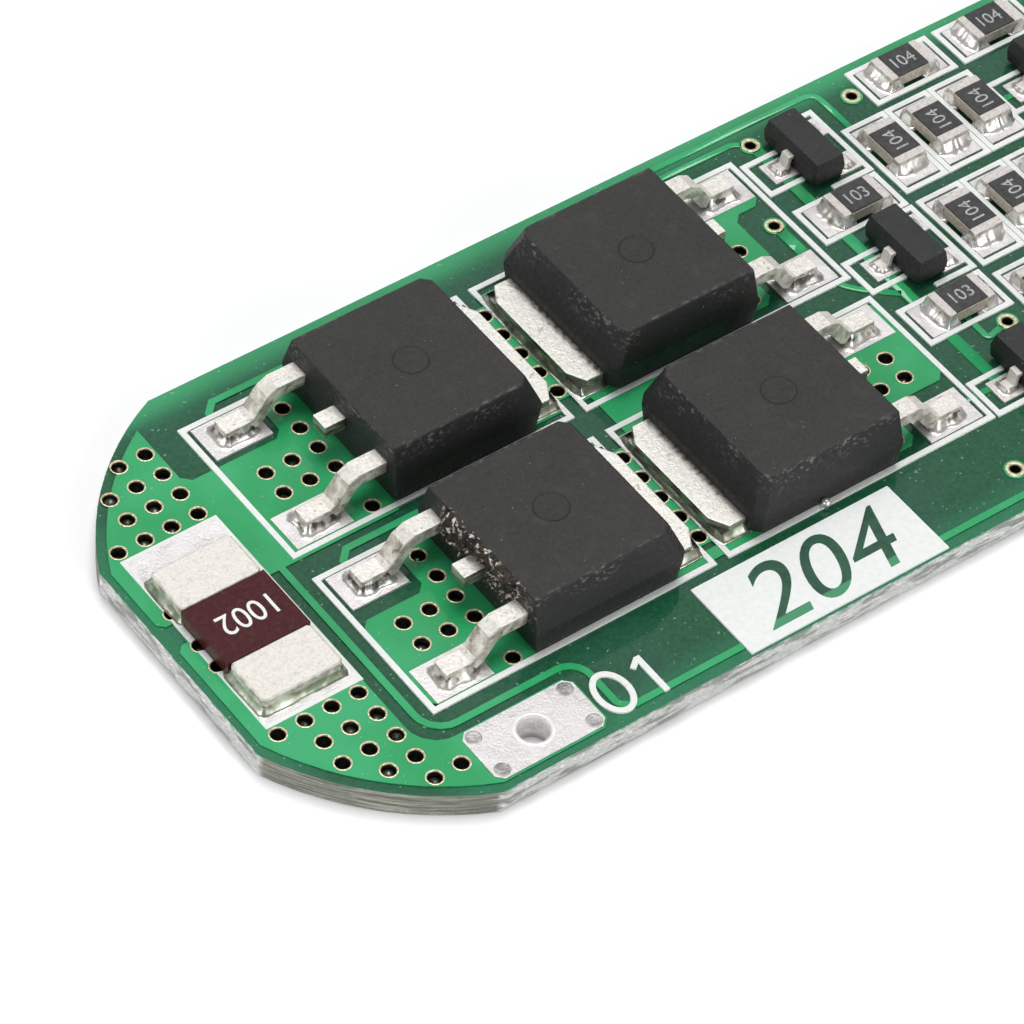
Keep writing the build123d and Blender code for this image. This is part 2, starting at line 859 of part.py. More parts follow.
# Every remaining node: the piece it repeats and the seats it stands on
lone_chips = shifted(lone_frames, lone_chip_drift)
array_chips = shifted(array_frames, array_drift)
sense_chips = edge_frames + filter_frames
for name, piece, spots in (
    ("shunt_element", shunt_element, [shunt_seat]),
    ("shunt_terminals", shunt_terminal_pair, [shunt_seat]),
    ("gate_resistor_ceramics", chip_ceramic, lone_chips),
    ("gate_resistor_ends", chip_ends, lone_chips),
    ("gate_resistor_glazes", chip_glaze, lone_chips),
    ("balance_resistor_ceramics", chip_ceramic, array_chips),
    ("balance_resistor_ends", chip_ends, array_chips),
    ("balance_resistor_glazes", chip_glaze, array_chips),
    ("sense_resistor_ceramics", chip_ceramic, sense_chips),
    ("sense_resistor_ends", chip_ends, sense_chips),
    ("sense_resistor_glazes", chip_glaze, sense_chips),
    ("resistor_solder_fillets", chip_fillets, lone_chips + array_chips + sense_chips),
    ("filter_capacitor_bodies", cap_body, cap_frames),
    ("filter_capacitor_ends", cap_ends, cap_frames),
    ("gate_driver_bodies", transistor_body, small_seats[:3]),
    ("gate_driver_leads", transistor_leads, small_seats[:3]),
    ("balance_transistor_bodies", transistor_body, small_seats[3:]),
    ("balance_transistor_leads", transistor_leads, small_seats[3:]),
    ("protection_circuit_leads", circuit_leads, circuit_seats),
):
    with BuildPart() as repeated:
        with Locations(*lifted(spots)):
            add(piece.part)
    finish(name, repeated.part)
for number, spot in enumerate(lifted(circuit_seats), start=1):
    finish(f"protection_circuit_{number}", circuit_body.part.moved(spot))
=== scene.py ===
from itertools import count
from math import cos, pi, radians, sin
from random import Random

import bpy
from mathutils import Matrix, Vector, noise


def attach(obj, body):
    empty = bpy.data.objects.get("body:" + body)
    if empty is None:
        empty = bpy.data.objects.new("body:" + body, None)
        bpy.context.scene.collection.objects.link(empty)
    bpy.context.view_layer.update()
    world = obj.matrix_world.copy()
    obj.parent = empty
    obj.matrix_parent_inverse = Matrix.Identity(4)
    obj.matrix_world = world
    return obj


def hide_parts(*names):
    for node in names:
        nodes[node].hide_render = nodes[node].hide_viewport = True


# A millimetre in metres
MM = 0.001

# Sizes and places in millimetres, in the part's own frame
NEAR = -29.4
FAR = 29.4
LAMINATE = 0.95
COPPER = 1.0
LAND = 1.04
PRINT = 1.03
HAIR = 0.002
INK = 0.006
SHUNT_TOP = LAND + 0.60
CHIP_TOP = LAND + 0.52
MOSFET_FROM_NEAR = (12.46, 21.26)
TAB_VIA_FROM_NEAR = 16.86
MOSFET_X = tuple(NEAR + distance for distance in MOSFET_FROM_NEAR)
MOSFET_Y = (4.80, -2.82)
MOSFET_PITCH = 7.62
EJECTOR_X = (MOSFET_X[0] - 0.2, MOSFET_X[1] + 0.2)
OUTER_LEAD = 2.285
VIA_PITCH = 1.016
ROWS = (5.40, 1.30, -2.80)
FILTER_FROM_NEAR = 48.2
CHIP_PITCH = 1.93
LABEL_STRIP_DOWN = 9.27

# Where the changes on the board and on the moulds begin and end, in millimetres
MASK_STEP = (0.965, 0.985)
GLOW_ALONG = (27.6, 29.3)
GLOW_ACROSS = (8.2, 9.7)
GLOW_CORNER_SUM = (34.0, 36.0)
UPPER_REFLECTION = (8.7, 9.75)
LONG_SIDE = (9.70, 9.80)
SHORT_SIDE = (29.30, 29.42)
CUT_WALL = (0.93, 0.948)
GREEN_LIP = (0.84, 0.93)
LANE_EDGE = (0.10, 0.16)
LANE_PITCH = 3.6
LANE_SHIFT = 40.0
EJECTOR_INNER = (0.56, 0.60)
EJECTOR_OUTER = (0.62, 0.67)

NOISE_ROUGHNESS = 0.55

# Colours, where a pair is the two ends of a mottling
MASK_ON_COPPER = ((0.026, 0.370, 0.122), (0.046, 0.435, 0.172))
MASK_ON_LAMINATE = ((0.008, 0.076, 0.033), (0.012, 0.102, 0.048))
MASK_CLOUD = (0.018, 0.090, 0.050)
MASK_SPECK = (0.10, 0.42, 0.20)
MASK_DUST = (0.36, 0.56, 0.42)
GLOW_GREEN = (0.022, 0.20, 0.095)
# Painted reflection along the upper long edge, over laminate and over copper
REFLECTION_ON_LAMINATE = (0.050, 0.38, 0.16)
REFLECTION_ON_COPPER = (0.080, 0.46, 0.21)
UNDERSIDE_GREEN = ((0.014, 0.10, 0.05), (0.030, 0.36, 0.12))
MILLED_GLASS = ((0.19, 0.185, 0.15), (0.56, 0.56, 0.49))
MILLED_SOOT = (0.26, 0.29, 0.23)
FRAYED_GLASS = ((0.78, 0.79, 0.75), (0.98, 0.985, 0.97))
FRAYED_STREAK = (0.19, 0.20, 0.16)
FRAYED_GREEN = (0.16, 0.42, 0.26)
WINDOW_GREEN = ((0.012, 0.068, 0.036), (0.022, 0.105, 0.055))
WINDOW_STRIP = (0.060, 0.30, 0.15)
LAND_TIN = ((0.66, 0.63, 0.625), (0.84, 0.805, 0.80))
FOOT_TIN = ((0.60, 0.57, 0.52), (0.86, 0.83, 0.78))
LAND_FLUX = (0.34, 0.29, 0.22)
WIRE_PAD_GREY = (0.20, 0.19, 0.19)
TAB_CREAM = ((0.76, 0.73, 0.67), (0.90, 0.88, 0.82))
TAB_PIT = (0.30, 0.27, 0.22)
TAB_CRUMB = (0.12, 0.085, 0.045)
# Painted dark, greenish reflection on the flanks of the tabs
TAB_FLANK_REFLECTION = ((0.12, 0.145, 0.10), (0.50, 0.52, 0.44))
LEAD_CREAM = ((0.82, 0.77, 0.69), (0.97, 0.94, 0.89))
LEAD_PIT = (0.34, 0.28, 0.22)
# Painted shade on the slopes and sides of the leads
LEAD_FLANK_SHADE = ((0.36, 0.33, 0.28), (0.80, 0.76, 0.69))
LEAD_STAIN = (0.13, 0.10, 0.075)
CRUST_BROWN = ((0.010, 0.008, 0.007), (0.048, 0.028, 0.018))
CRUST_CRUMB = ((0.30, 0.23, 0.17), (0.84, 0.81, 0.75))
BRIGHT_SOLDER = ((0.62, 0.59, 0.55), (0.93, 0.91, 0.88))
# Solder painted dark and greenish, as a reflection of the mask and the dark parts near it
SOLDER_WITH_REFLECTION = ((0.16, 0.19, 0.13), (0.52, 0.54, 0.45))
# Solder down in a hole, dark with painted shade
SHADED_HOLE_SOLDER = ((0.020, 0.030, 0.020), (0.16, 0.18, 0.13))
SOLDER_FLUX = (0.20, 0.16, 0.11)
SOLDER_GRIME = (0.045, 0.036, 0.026)
MOSFET_EPOXY = ((0.019, 0.018, 0.0165), (0.032, 0.0305, 0.028))
SMALL_EPOXY = ((0.014, 0.014, 0.014), (0.028, 0.028, 0.028))
# Painted shade on the sides of the moulds
MOULD_SHADE = (0.004, 0.004, 0.004)
MOULD_DUST = (0.34, 0.33, 0.30)
EJECTOR_DISC = (0.016, 0.016, 0.015)
EJECTOR_LINE = (0.010, 0.010, 0.009)
CHALK = (0.22, 0.21, 0.19)
SCUFF = (0.20, 0.20, 0.18)
MOULD_STAIN = (0.075, 0.062, 0.036)
MOULD_BURN = ((0.10, 0.05, 0.03), (0.62, 0.58, 0.50))
WHITE_PRINT = ((0.87, 0.90, 0.87), (0.93, 0.94, 0.92))
GLAZE_PRINT = ((0.30, 0.31, 0.31), (0.55, 0.56, 0.56))
SHUNT_TIN = ((0.78, 0.74, 0.68), (0.90, 0.865, 0.80))
CHIP_TIN = ((0.60, 0.55, 0.52), (0.76, 0.71, 0.68))
TIN_PIT = (0.45, 0.40, 0.33)
# Painted shade on the sides of the tin caps
TIN_SIDE_SHADE = ((0.34, 0.32, 0.27), (0.72, 0.69, 0.62))
RESIN = ((0.058, 0.009, 0.011), (0.076, 0.0125, 0.0145))
ALUMINA = ((0.38, 0.34, 0.27), (0.56, 0.51, 0.43))
GLAZE = ((0.030, 0.029, 0.030), (0.050, 0.049, 0.050))
CAPACITOR = ((0.25, 0.16, 0.09), (0.36, 0.24, 0.13))
THROAT_SILVER = ((0.82, 0.81, 0.80), (0.98, 0.975, 0.97))
# Painted shade low in the wire holes
THROAT_SHADE = (0.70, 0.69, 0.68)
THROAT_RIM = (0.90, 0.88, 0.86)
DIMPLE_GREY = ((0.22, 0.21, 0.20), (0.52, 0.50, 0.48))
HOLE_RIM = ((0.58, 0.42, 0.26), (0.86, 0.74, 0.55))
# Painted shade in the throats of the small holes
HOLE_SHADE = ((0.008, 0.010, 0.007), (0.034, 0.034, 0.024))

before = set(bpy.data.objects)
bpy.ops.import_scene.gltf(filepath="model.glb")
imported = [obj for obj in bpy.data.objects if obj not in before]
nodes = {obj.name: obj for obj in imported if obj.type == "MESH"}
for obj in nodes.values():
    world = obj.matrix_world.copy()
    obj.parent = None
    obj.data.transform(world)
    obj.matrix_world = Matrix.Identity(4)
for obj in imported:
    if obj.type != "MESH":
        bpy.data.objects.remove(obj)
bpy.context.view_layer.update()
scene = bpy.context.scene


# Shader helpers


class Shader:
    """A material whose nodes are wired by short calls, with lengths in millimetres."""

    def __init__(self, name, metallic=0.0, roughness=0.5, ior=1.5):
        self.material = bpy.data.materials.new(name)
        self.material.use_nodes = True
        self.tree = self.material.node_tree
        self.base = next(n for n in self.tree.nodes if n.type == "BSDF_PRINCIPLED")
        self.base.inputs["Metallic"].default_value = metallic
        self.base.inputs["Roughness"].default_value = roughness
        self.base.inputs["IOR"].default_value = ior
        place = self.tree.nodes.new("ShaderNodeTexCoord").outputs["Object"]
        self.place = self.vector("SCALE", place, scale=1 / MM)
        self.normal = self.tree.nodes.new("ShaderNodeNewGeometry").outputs["True Normal"]

    def put(self, socket, value):
        if isinstance(value, bpy.types.NodeSocket):
            self.tree.links.new(value, socket)
        elif socket.type == "RGBA":
            socket.default_value = (*value, 1.0)
        else:
            socket.default_value = value

    def vector(self, operation, a, b=None, scale=None):
        node = self.tree.nodes.new("ShaderNodeVectorMath")
        node.operation = operation
        self.put(node.inputs[0], a)
        if b is not None:
            self.put(node.inputs[1], b)
        if scale is not None:
            self.put(node.inputs["Scale"], scale)
        return node.outputs[0]

    def math(self, operation, a, b=0.0):
        node = self.tree.nodes.new("ShaderNodeMath")
        node.operation = operation
        self.put(node.inputs[0], a)
        self.put(node.inputs[1], b)
        return node.outputs[0]

    def times(self, a, b):
        return self.math("MULTIPLY", a, b)

    def plus(self, a, b):
        return self.math("ADD", a, b)

    def minus(self, a, b):
        return self.math("SUBTRACT", a, b)

    def size(self, value):
        return self.math("ABSOLUTE", value)

    def flip(self, value):
        """One where the value is zero, and zero where it is one."""
        return self.math("SUBTRACT", 1.0, value)

    def axis(self, index, source=None):
        node = self.tree.nodes.new("ShaderNodeSeparateXYZ")
        self.put(node.inputs[0], source or self.place)
        return node.outputs[index]

    def step(self, value, low, high, from_value=0.0, to_value=1.0):
        node = self.tree.nodes.new("ShaderNodeMapRange")
        node.interpolation_type = "SMOOTHSTEP"
        for index, number in enumerate((value, low, high, from_value, to_value)):
            self.put(node.inputs[index], number)
        return node.outputs[0]

    def facing_up(self, low, high):
        """Grows from zero to one as the surface turns from its side to face upward."""
        return self.step(self.axis(2, self.normal), low, high)

    def mix(self, factor, a, b):
        node = self.tree.nodes.new("ShaderNodeMix")
        node.data_type = "RGBA"
        first, second = [socket for socket in node.inputs if socket.type == "RGBA"]
        self.put(node.inputs["Factor"], factor)
        self.put(first, a)
        self.put(second, b)
        return node.outputs[2]

    def tint(self, base, mask, amount, colour):
        """The base with a colour laid over it where the mask is, at most this strongly."""
        return self.mix(self.times(mask, amount), base, colour)

    def blend(self, factor, a, b):
        node = self.tree.nodes.new("ShaderNodeMix")
        self.put(node.inputs["Factor"], factor)
        self.put(node.inputs[2], a)
        self.put(node.inputs[3], b)
        return node.outputs[0]

    def grain(self, scale, detail=3.0, stretch=(1, 1, 1), low=0.35, high=0.65):
        """Soft mottling from zero to one, finer with a larger scale."""
        node = self.tree.nodes.new("ShaderNodeTexNoise")
        self.put(node.inputs["Vector"], self.vector("MULTIPLY", self.place, stretch))
        self.put(node.inputs["Scale"], scale)
        self.put(node.inputs["Detail"], detail)
        self.put(node.inputs["Roughness"], NOISE_ROUGHNESS)
        return self.step(node.outputs[0], low, high)

    def bump(self, height, depth, strength):
        node = self.tree.nodes.new("ShaderNodeBump")
        self.put(node.inputs["Strength"], strength)
        self.put(node.inputs["Distance"], depth * MM)
        self.put(node.inputs["Height"], height)
        self.put(self.base.inputs["Normal"], node.outputs[0])

    def paint(self, colour):
        self.put(self.base.inputs["Base Color"], colour)

    def gloss(self, roughness):
        self.put(self.base.inputs["Roughness"], roughness)


# Looks


def board_look():
    """Green mask, pale over copper and deep over laminate, with cut glass fibre at the edges."""
    s = Shader("board", roughness=0.16)
    x, y, z = (s.axis(k) for k in range(3))
    far_x, far_y = s.size(x), s.size(y)
    up = s.axis(2, s.normal)
    drift = s.grain(0.35, 2.0)
    copper = s.mix(drift, *MASK_ON_COPPER)
    weave = s.times(s.grain(2.2, 1.0, (1, 12, 1)), s.grain(2.2, 1.0, (12, 1, 1)))
    bare = s.mix(s.grain(0.22, 1.0), s.mix(weave, *MASK_ON_LAMINATE), MASK_CLOUD)
    # Light that enters at the cut edge makes the laminate glow beside it
    glow = s.math("MAXIMUM", s.step(far_y, *GLOW_ACROSS), s.step(far_x, *GLOW_ALONG))
    glow = s.math("MAXIMUM", glow, s.step(s.plus(far_x, far_y), *GLOW_CORNER_SUM))
    bare = s.tint(bare, glow, 0.8, GLOW_GREEN)
    # Painted reflection: the mask is paler along the upper long edge
    rim = s.step(y, *UPPER_REFLECTION)
    bare = s.tint(bare, rim, 0.85, REFLECTION_ON_LAMINATE)
    copper = s.tint(copper, rim, 0.7, REFLECTION_ON_COPPER)
    top = s.mix(s.step(z, *MASK_STEP), bare, copper)
    top = s.tint(top, s.grain(7.0, 4.0), 0.08, MASK_SPECK)
    top = s.tint(top, s.grain(9.0, 0.0, low=0.815, high=0.83), 0.5, MASK_DUST)
    # Underside: mask over one wide copper area with bare lanes
    turn = s.math("MODULO", s.plus(y, LANE_SHIFT), LANE_PITCH)
    lane = s.size(s.minus(turn, LANE_PITCH / 2))
    below = s.mix(s.step(lane, *LANE_EDGE), *UNDERSIDE_GREEN)
    mask = s.mix(s.step(up, -0.2, 0.2), below, top)
    # Cut edge: layered and brown where milled, white and frayed where the score was snapped
    layers = s.grain(1.6, 4.0, (0.35, 0.35, 7.0), low=0.32, high=0.66)
    soot = s.grain(1.1, 3.0, (1, 1, 0.6), low=0.40, high=0.62)
    milled = s.tint(s.mix(layers, *MILLED_GLASS), soot, 0.45, MILLED_SOOT)
    streak = s.grain(1.6, 6.0, (0.6, 0.6, 4.0), low=0.50, high=0.62)
    fibre = s.grain(6.0, 4.0, (1, 1, 3.0), low=0.38, high=0.62)
    frayed = s.tint(s.mix(fibre, *FRAYED_GLASS), streak, 0.65, FRAYED_STREAK)
    lip = s.times(s.step(z, *GREEN_LIP), s.grain(2.4, 3.0, low=0.42, high=0.60))
    frayed = s.mix(lip, frayed, FRAYED_GREEN)
    snapped = s.math("MAXIMUM", s.step(far_y, *LONG_SIDE), s.step(far_x, *SHORT_SIDE))
    edge_on = s.flip(s.step(s.size(up), 0.9, 0.96))
    wall = s.times(edge_on, s.flip(s.step(z, *CUT_WALL)))
    s.paint(s.mix(wall, mask, s.mix(snapped, milled, frayed)))
    s.gloss(s.blend(wall, s.blend(drift, 0.06, 0.11), 0.85))
    torn = s.times(s.plus(fibre, streak), wall)
    s.bump(s.plus(torn, s.times(s.grain(1.1, 3.0), 0.03)), 0.08, 0.8)
    return s.material


def solder_look(name, colours, rough, metallic, pit, stain):
    """Tinned metal with soft waves, fine pits and a little flux."""
    s = Shader(name, metallic=metallic, roughness=rough)
    wave = s.grain(1.1, 3.0)
    fine = s.grain(13.0, 4.0)
    colour = s.mix(s.blend(0.35, wave, fine), *colours)
    colour = s.tint(colour, s.grain(2.2, 4.0, low=0.54, high=0.70), stain, LAND_FLUX)
    # The wire pads along the lower edge are a little greyer
    colour = s.tint(colour, s.step(s.axis(1), -7.1, -7.3), 0.16, WIRE_PAD_GREY)
    s.paint(colour)
    s.gloss(s.blend(wave, rough - 0.06, rough + 0.10))
    s.bump(s.plus(s.times(wave, 1.6), fine), pit, 0.35)
    return s.material


def tab_look():
    """Heat tab: cream and speckled on top, crumbs by the mould, and a painted dark, greenish
    reflection on its glossy flanks.
    """
    s = Shader("tinned_tab", metallic=0.5, roughness=0.40)
    up = s.facing_up(0.72, 0.97)
    cream = s.mix(s.grain(9.0, 5.0, low=0.34, high=0.60), *TAB_CREAM)
    cream = s.tint(cream, s.grain(3.0, 5.0, low=0.62, high=0.70), 0.5, TAB_PIT)
    reach = s.size(s.minus(s.axis(0), NEAR + TAB_VIA_FROM_NEAR))
    by_body = s.times(s.step(reach, 1.05, 1.42), s.step(reach, 2.2, 1.8))
    crumbs = s.times(s.grain(4.5, 5.0, low=0.48, high=0.60), by_body)
    cream = s.tint(cream, crumbs, 0.75, TAB_CRUMB)
    # Painted reflection: the flanks are dark and greenish
    flank = s.mix(s.grain(1.6, 4.0, (1, 0.5, 3)), *TAB_FLANK_REFLECTION)
    s.paint(s.mix(up, flank, cream))
    s.gloss(s.blend(up, 0.22, 0.46))
    s.bump(s.plus(s.grain(3.0, 3.0), s.grain(14.0, 3.0)), 0.012, 0.4)
    return s.material


def lead_look():
    """Bent tinned lead: cream and speckled on top, grey with painted shade and stained on slopes
    and sides.
    """
    s = Shader("tinned_lead", metallic=0.22, roughness=0.42)
    cream = s.mix(s.grain(9.0, 5.0, low=0.36, high=0.62), *LEAD_CREAM)
    cream = s.tint(cream, s.grain(6.0, 4.0, low=0.60, high=0.70), 0.6, LEAD_PIT)
    # Painted shade: slopes and sides are grey
    flank = s.mix(s.grain(2.4, 5.0, low=0.36, high=0.66), *LEAD_FLANK_SHADE)
    flank = s.tint(flank, s.grain(3.6, 5.0, low=0.56, high=0.68), 0.7, LEAD_STAIN)
    s.paint(s.mix(s.facing_up(0.72, 0.97), flank, cream))
    s.gloss(s.blend(s.grain(5.0), 0.36, 0.52))
    s.bump(s.plus(s.grain(3.0, 3.0), s.grain(14.0, 3.0)), 0.02, 0.45)
    return s.material


def crust_look():
    """Burnt flux: dark brown lumps with pale and tan crumbs."""
    s = Shader("burnt_flux", roughness=0.38)
    lump = s.mix(s.grain(2.4, 5.0, low=0.40, high=0.60), *CRUST_BROWN)
    crumb = s.mix(s.grain(3.5, 2.0), *CRUST_CRUMB)
    s.paint(s.mix(s.grain(5.5, 5.0, low=0.55, high=0.62), lump, crumb))
    s.bump(s.grain(6.0, 5.0), 0.06, 0.8)
    return s.material


def joint_look(name, colours, grime=0.0):
    """Frozen solder with soft folds and some flux, and grime on its steep sides if asked."""
    s = Shader(name, metallic=0.75, roughness=0.16)
    fold = s.grain(1.5, 2.0, low=0.36, high=0.64)
    steep = s.facing_up(0.85, 0.45)
    burnt = s.times(s.grain(2.6, 4.0, low=0.44, high=0.56), grime)
    colour = s.tint(s.mix(fold, *colours), steep, burnt, SOLDER_GRIME)
    s.paint(s.tint(colour, s.grain(1.9, 4.0, low=0.55, high=0.66), 0.6, SOLDER_FLUX))
    s.gloss(s.blend(fold, 0.38, 0.24))
    s.bump(s.plus(fold, s.times(s.grain(4.0, 1.0), 0.25)), 0.02, 0.3)
    return s.material


def mould_look(name, colours, rough):
    """Moulded epoxy with fine grain, and painted shade on its sides, darkest on the left ones.
    Gives the shader and its colour.
    """
    s = Shader(name, roughness=rough)
    deep, pale = colours
    up = s.facing_up(0.8, 0.95)
    body = s.mix(s.grain(22.0, 4.0), deep, pale)
    body = s.tint(body, s.grain(0.5, 3.0), 0.22, [part * 1.4 for part in pale])
    # Painted shade: every side is darkened, the left ones most
    left = s.step(s.axis(0, s.normal), -0.9, -0.5, 0.95, 0.70)
    body = s.mix(up, s.mix(left, body, MOULD_SHADE), body)
    body = s.tint(body, s.grain(9.0, 1.0, low=0.765, high=0.79), 0.7, MOULD_DUST)
    s.paint(body)
    s.gloss(s.blend(s.grain(6.0), rough - 0.06, rough + 0.1))
    s.bump(s.grain(28.0, 3.0), 0.012, 0.6)
    return s, body


def mosfet_look():
    """Power transistor mould: ejector rings, chalky edges, rubbed flanks and burnt flux."""
    s, body = mould_look("mosfet_mould", MOSFET_EPOXY, 0.52)
    x, y, z = (s.axis(k) for k in range(3))
    up = s.facing_up(0.8, 0.95)
    # Distance from the middle of the nearest ejector disc
    across = s.math("MINIMUM", *(s.size(s.minus(x, place)) for place in EJECTOR_X))
    turned = s.math("MODULO", s.plus(y, 5.5 * MOSFET_PITCH - MOSFET_Y[0]), MOSFET_PITCH)
    aside = s.size(s.minus(turned, MOSFET_PITCH / 2))
    radius = s.math("SQRT", s.plus(s.times(across, across), s.times(aside, aside)))
    inside = s.flip(s.step(radius, *EJECTOR_INNER))
    line = s.times(s.step(radius, *EJECTOR_INNER), s.flip(s.step(radius, *EJECTOR_OUTER)))
    body = s.tint(body, inside, s.times(up, 0.22), EJECTOR_DISC)
    body = s.tint(body, line, s.times(up, 0.75), EJECTOR_LINE)
    # Chalky rim along the top edges and rubbed patches on the upper flanks
    rub = s.grain(2.6, 5.0, low=0.50, high=0.66)
    rim = s.times(s.step(aside, 2.70, 2.86), up)
    body = s.tint(body, rim, s.times(rub, 0.45), CHALK)
    flank = s.times(s.step(z, 2.35, 3.2), s.flip(up))
    patches = s.grain(0.45, 1.0, low=0.42, high=0.6)
    scuff = s.times(s.grain(5.0, 5.0, (1, 1, 2), 0.52, 0.68), patches)
    body = s.tint(body, flank, s.times(scuff, 0.8), SCUFF)
    # Faint brown stains on top
    stain = s.times(s.grain(1.5, 5.0, low=0.56, high=0.70), up)
    body = s.tint(body, stain, 0.30, MOULD_STAIN)
    # The disc lies a little lower than the grain round it
    s.bump(s.plus(s.grain(28.0, 3.0), s.times(inside, -5.0)), 0.012, 0.6)
    # Burnt flux on the lead side of the lower left one
    front = s.flip(s.step(x, MOSFET_X[0] - 3.06, MOSFET_X[0] - 2.94))
    lower = s.flip(s.step(y, MOSFET_Y[1] + 2.4, MOSFET_Y[1] + 3.0))
    burnt = s.times(s.times(front, lower), s.step(z, 1.7, 3.0))
    clots = s.grain(0.9, 2.0, low=0.40, high=0.56)
    flux = s.times(s.grain(4.2, 5.0, low=0.50, high=0.60), clots)
    s.paint(s.tint(body, burnt, flux, s.mix(s.grain(6.0), *MOULD_BURN)))
    return s.material


def small_mould_look():
    """Mould of the small circuits and transistors."""
    return mould_look("small_mould", SMALL_EPOXY, 0.48)[0].material


def cap_look(name, colours, rough):
    """Tin cap: pale and matt on top, darker with painted shade and pitted down its sides."""
    s = Shader(name, metallic=0.15, roughness=rough)
    up = s.facing_up(0.5, 0.95)
    body = s.mix(s.grain(10.0, 4.0, low=0.3, high=0.6), *colours)
    body = s.tint(body, s.grain(4.5, 5.0, low=0.58, high=0.70), 0.35, TIN_PIT)
    # Painted shade: the sides are darker
    s.paint(s.mix(up, s.mix(s.grain(3.0, 4.0), *TIN_SIDE_SHADE), body))
    s.gloss(s.blend(up, rough - 0.15, rough))
    s.bump(s.grain(12.0, 3.0), 0.02, 0.5)
    return s.material


def plain_look(name, colours, rough, scale=8.0, depth=0.012, ior=1.5):
    """An even substance with fine mottling."""
    s = Shader(name, roughness=rough, ior=ior)
    s.paint(s.mix(s.grain(scale, 4.0), *colours))
    s.gloss(s.blend(s.grain(scale / 2), rough - 0.05, rough + 0.08))
    s.bump(s.grain(scale * 2, 3.0), depth, 0.6)
    return s.material


def print_look():
    """White screen print, a little uneven."""
    s = Shader("white_print", roughness=0.62)
    s.paint(s.mix(s.grain(5.0, 4.0), *WHITE_PRINT))
    s.bump(s.grain(16.0), 0.01, 0.6)
    return s.material


def glaze_print_look():
    """Pale print on the black glaze of a resistor."""
    s = Shader("glaze_print", roughness=0.6)
    s.paint(s.mix(s.grain(9.0, 3.0), *GLAZE_PRINT))
    s.bump(s.grain(20.0), 0.006, 0.5)
    return s.material


def window_look():
    """Mask seen through the label print: dark, paler where a strip of copper passes."""
    s = Shader("mask_window", roughness=0.22)
    strip = s.flip(s.step(s.size(s.plus(s.axis(1), LABEL_STRIP_DOWN)), 0.20, 0.30))
    s.paint(s.mix(strip, s.mix(s.grain(2.5, 3.0), *WINDOW_GREEN), WINDOW_STRIP))
    s.bump(s.grain(9.0, 2.0), 0.004, 0.5)
    return s.material


def throat_look():
    """Silvered wall of a wire hole, darker downward with painted shade and duller at its rim."""
    s = Shader("wire_throat", metallic=0.15, roughness=0.34)
    z = s.axis(2)
    wall = s.mix(s.grain(2.6, 4.0, (1, 1, 2.5)), *THROAT_SILVER)
    # Painted shade: the wall darkens downward
    wall = s.mix(s.step(z, 0.05, 0.40), THROAT_SHADE, wall)
    s.paint(s.mix(s.step(z, COPPER, LAND), wall, THROAT_RIM))
    s.bump(s.grain(7.0, 3.0), 0.012, 0.5)
    return s.material


def dimple_look():
    """Dull grey solder pressed into a pad corner."""
    s = Shader("pad_dimple", metallic=0.5, roughness=0.45)
    s.paint(s.mix(s.grain(1.6, 4.0), *DIMPLE_GREY))
    s.bump(s.grain(8.0, 3.0), 0.02, 0.5)
    return s.material


def barrel_look():
    """Plated hole: thin tan rim, and a throat dark with painted shade."""
    s = Shader("plated_hole", metallic=0.5, roughness=0.38)
    rim = s.mix(s.grain(9.0), *HOLE_RIM)
    throat = s.mix(s.grain(5.0), *HOLE_SHADE)
    s.paint(s.mix(s.step(s.axis(2), 0.93, 0.995), throat, rim))
    s.bump(s.grain(12.0), 0.01, 0.5)
    return s.material


LOOKS = {
    "board": board_look(),
    "land": solder_look("solder_coat", LAND_TIN, 0.40, 0.50, 0.010, 0.3),
    "foot": solder_look("tinned_copper", FOOT_TIN, 0.42, 0.55, 0.012, 0.2),
    "tab": tab_look(),
    "shade": joint_look("joint_with_painted_reflection", SOLDER_WITH_REFLECTION),
    "bead": joint_look("standing_solder", SHADED_HOLE_SOLDER),
    "lead": lead_look(),
    "crust": crust_look(),
    "joint": joint_look("solder_joint", BRIGHT_SOLDER),
    "grimy": joint_look("grimy_joint", BRIGHT_SOLDER, grime=0.9),
    "tin": cap_look("matte_tin", SHUNT_TIN, 0.6),
    "chip_tin": cap_look("chip_tin", CHIP_TIN, 0.55),
    "mosfet": mosfet_look(),
    "small": small_mould_look(),
    "print": print_look(),
    "glaze_print": glaze_print_look(),
    "resin": plain_look("shunt_resin", RESIN, 0.20, 10.0, 0.003, 1.3),
    "alumina": plain_look("alumina", ALUMINA, 0.6),
    "glaze": plain_look("black_glaze", GLAZE, 0.34, 5.0, 0.004),
    "cap": plain_look("capacitor_ceramic", CAPACITOR, 0.5),
    "barrel": barrel_look(),
    "throat": throat_look(),
    "dimple": dimple_look(),
    "window": window_look(),
}

# Looks and broken edges of the solids, by the start or the ending of a node's name
STARTS = (
    ("circuit_board", "board"),
    ("solder_lands", "land"),
    ("legend_print", "print"),
    ("label_field", "print"),
    ("mosfet", "tab"),
    ("shunt_element", "resin"),
    ("shunt_terminals", "tin"),
    ("resistor_solder_fillets", "land"),
    ("filter_capacitor_bodies", "cap"),
    ("protection_circuit_leads", "foot"),
    ("protection_circuit", "small"),
)
ENDINGS = (
    ("_ceramics", "alumina"),
    ("_glazes", "glaze"),
    ("_ends", "chip_tin"),
    ("_bodies", "small"),
    ("_leads", "foot"),
)
SOFT_EDGES = (
    ("_body", 0.07),
    ("_bodies", 0.05),
    ("_tab", 0.035),
    ("_lead", 0.045),
    ("_leads", 0.02),
    ("_ends", 0.05),
    ("_terminals", 0.03),
    ("protection_circuit_1", 0.05),
    ("protection_circuit_2", 0.05),
    ("protection_circuit_3", 0.05),
)
SHARP_NODE = "filter_capacitor_bodies"
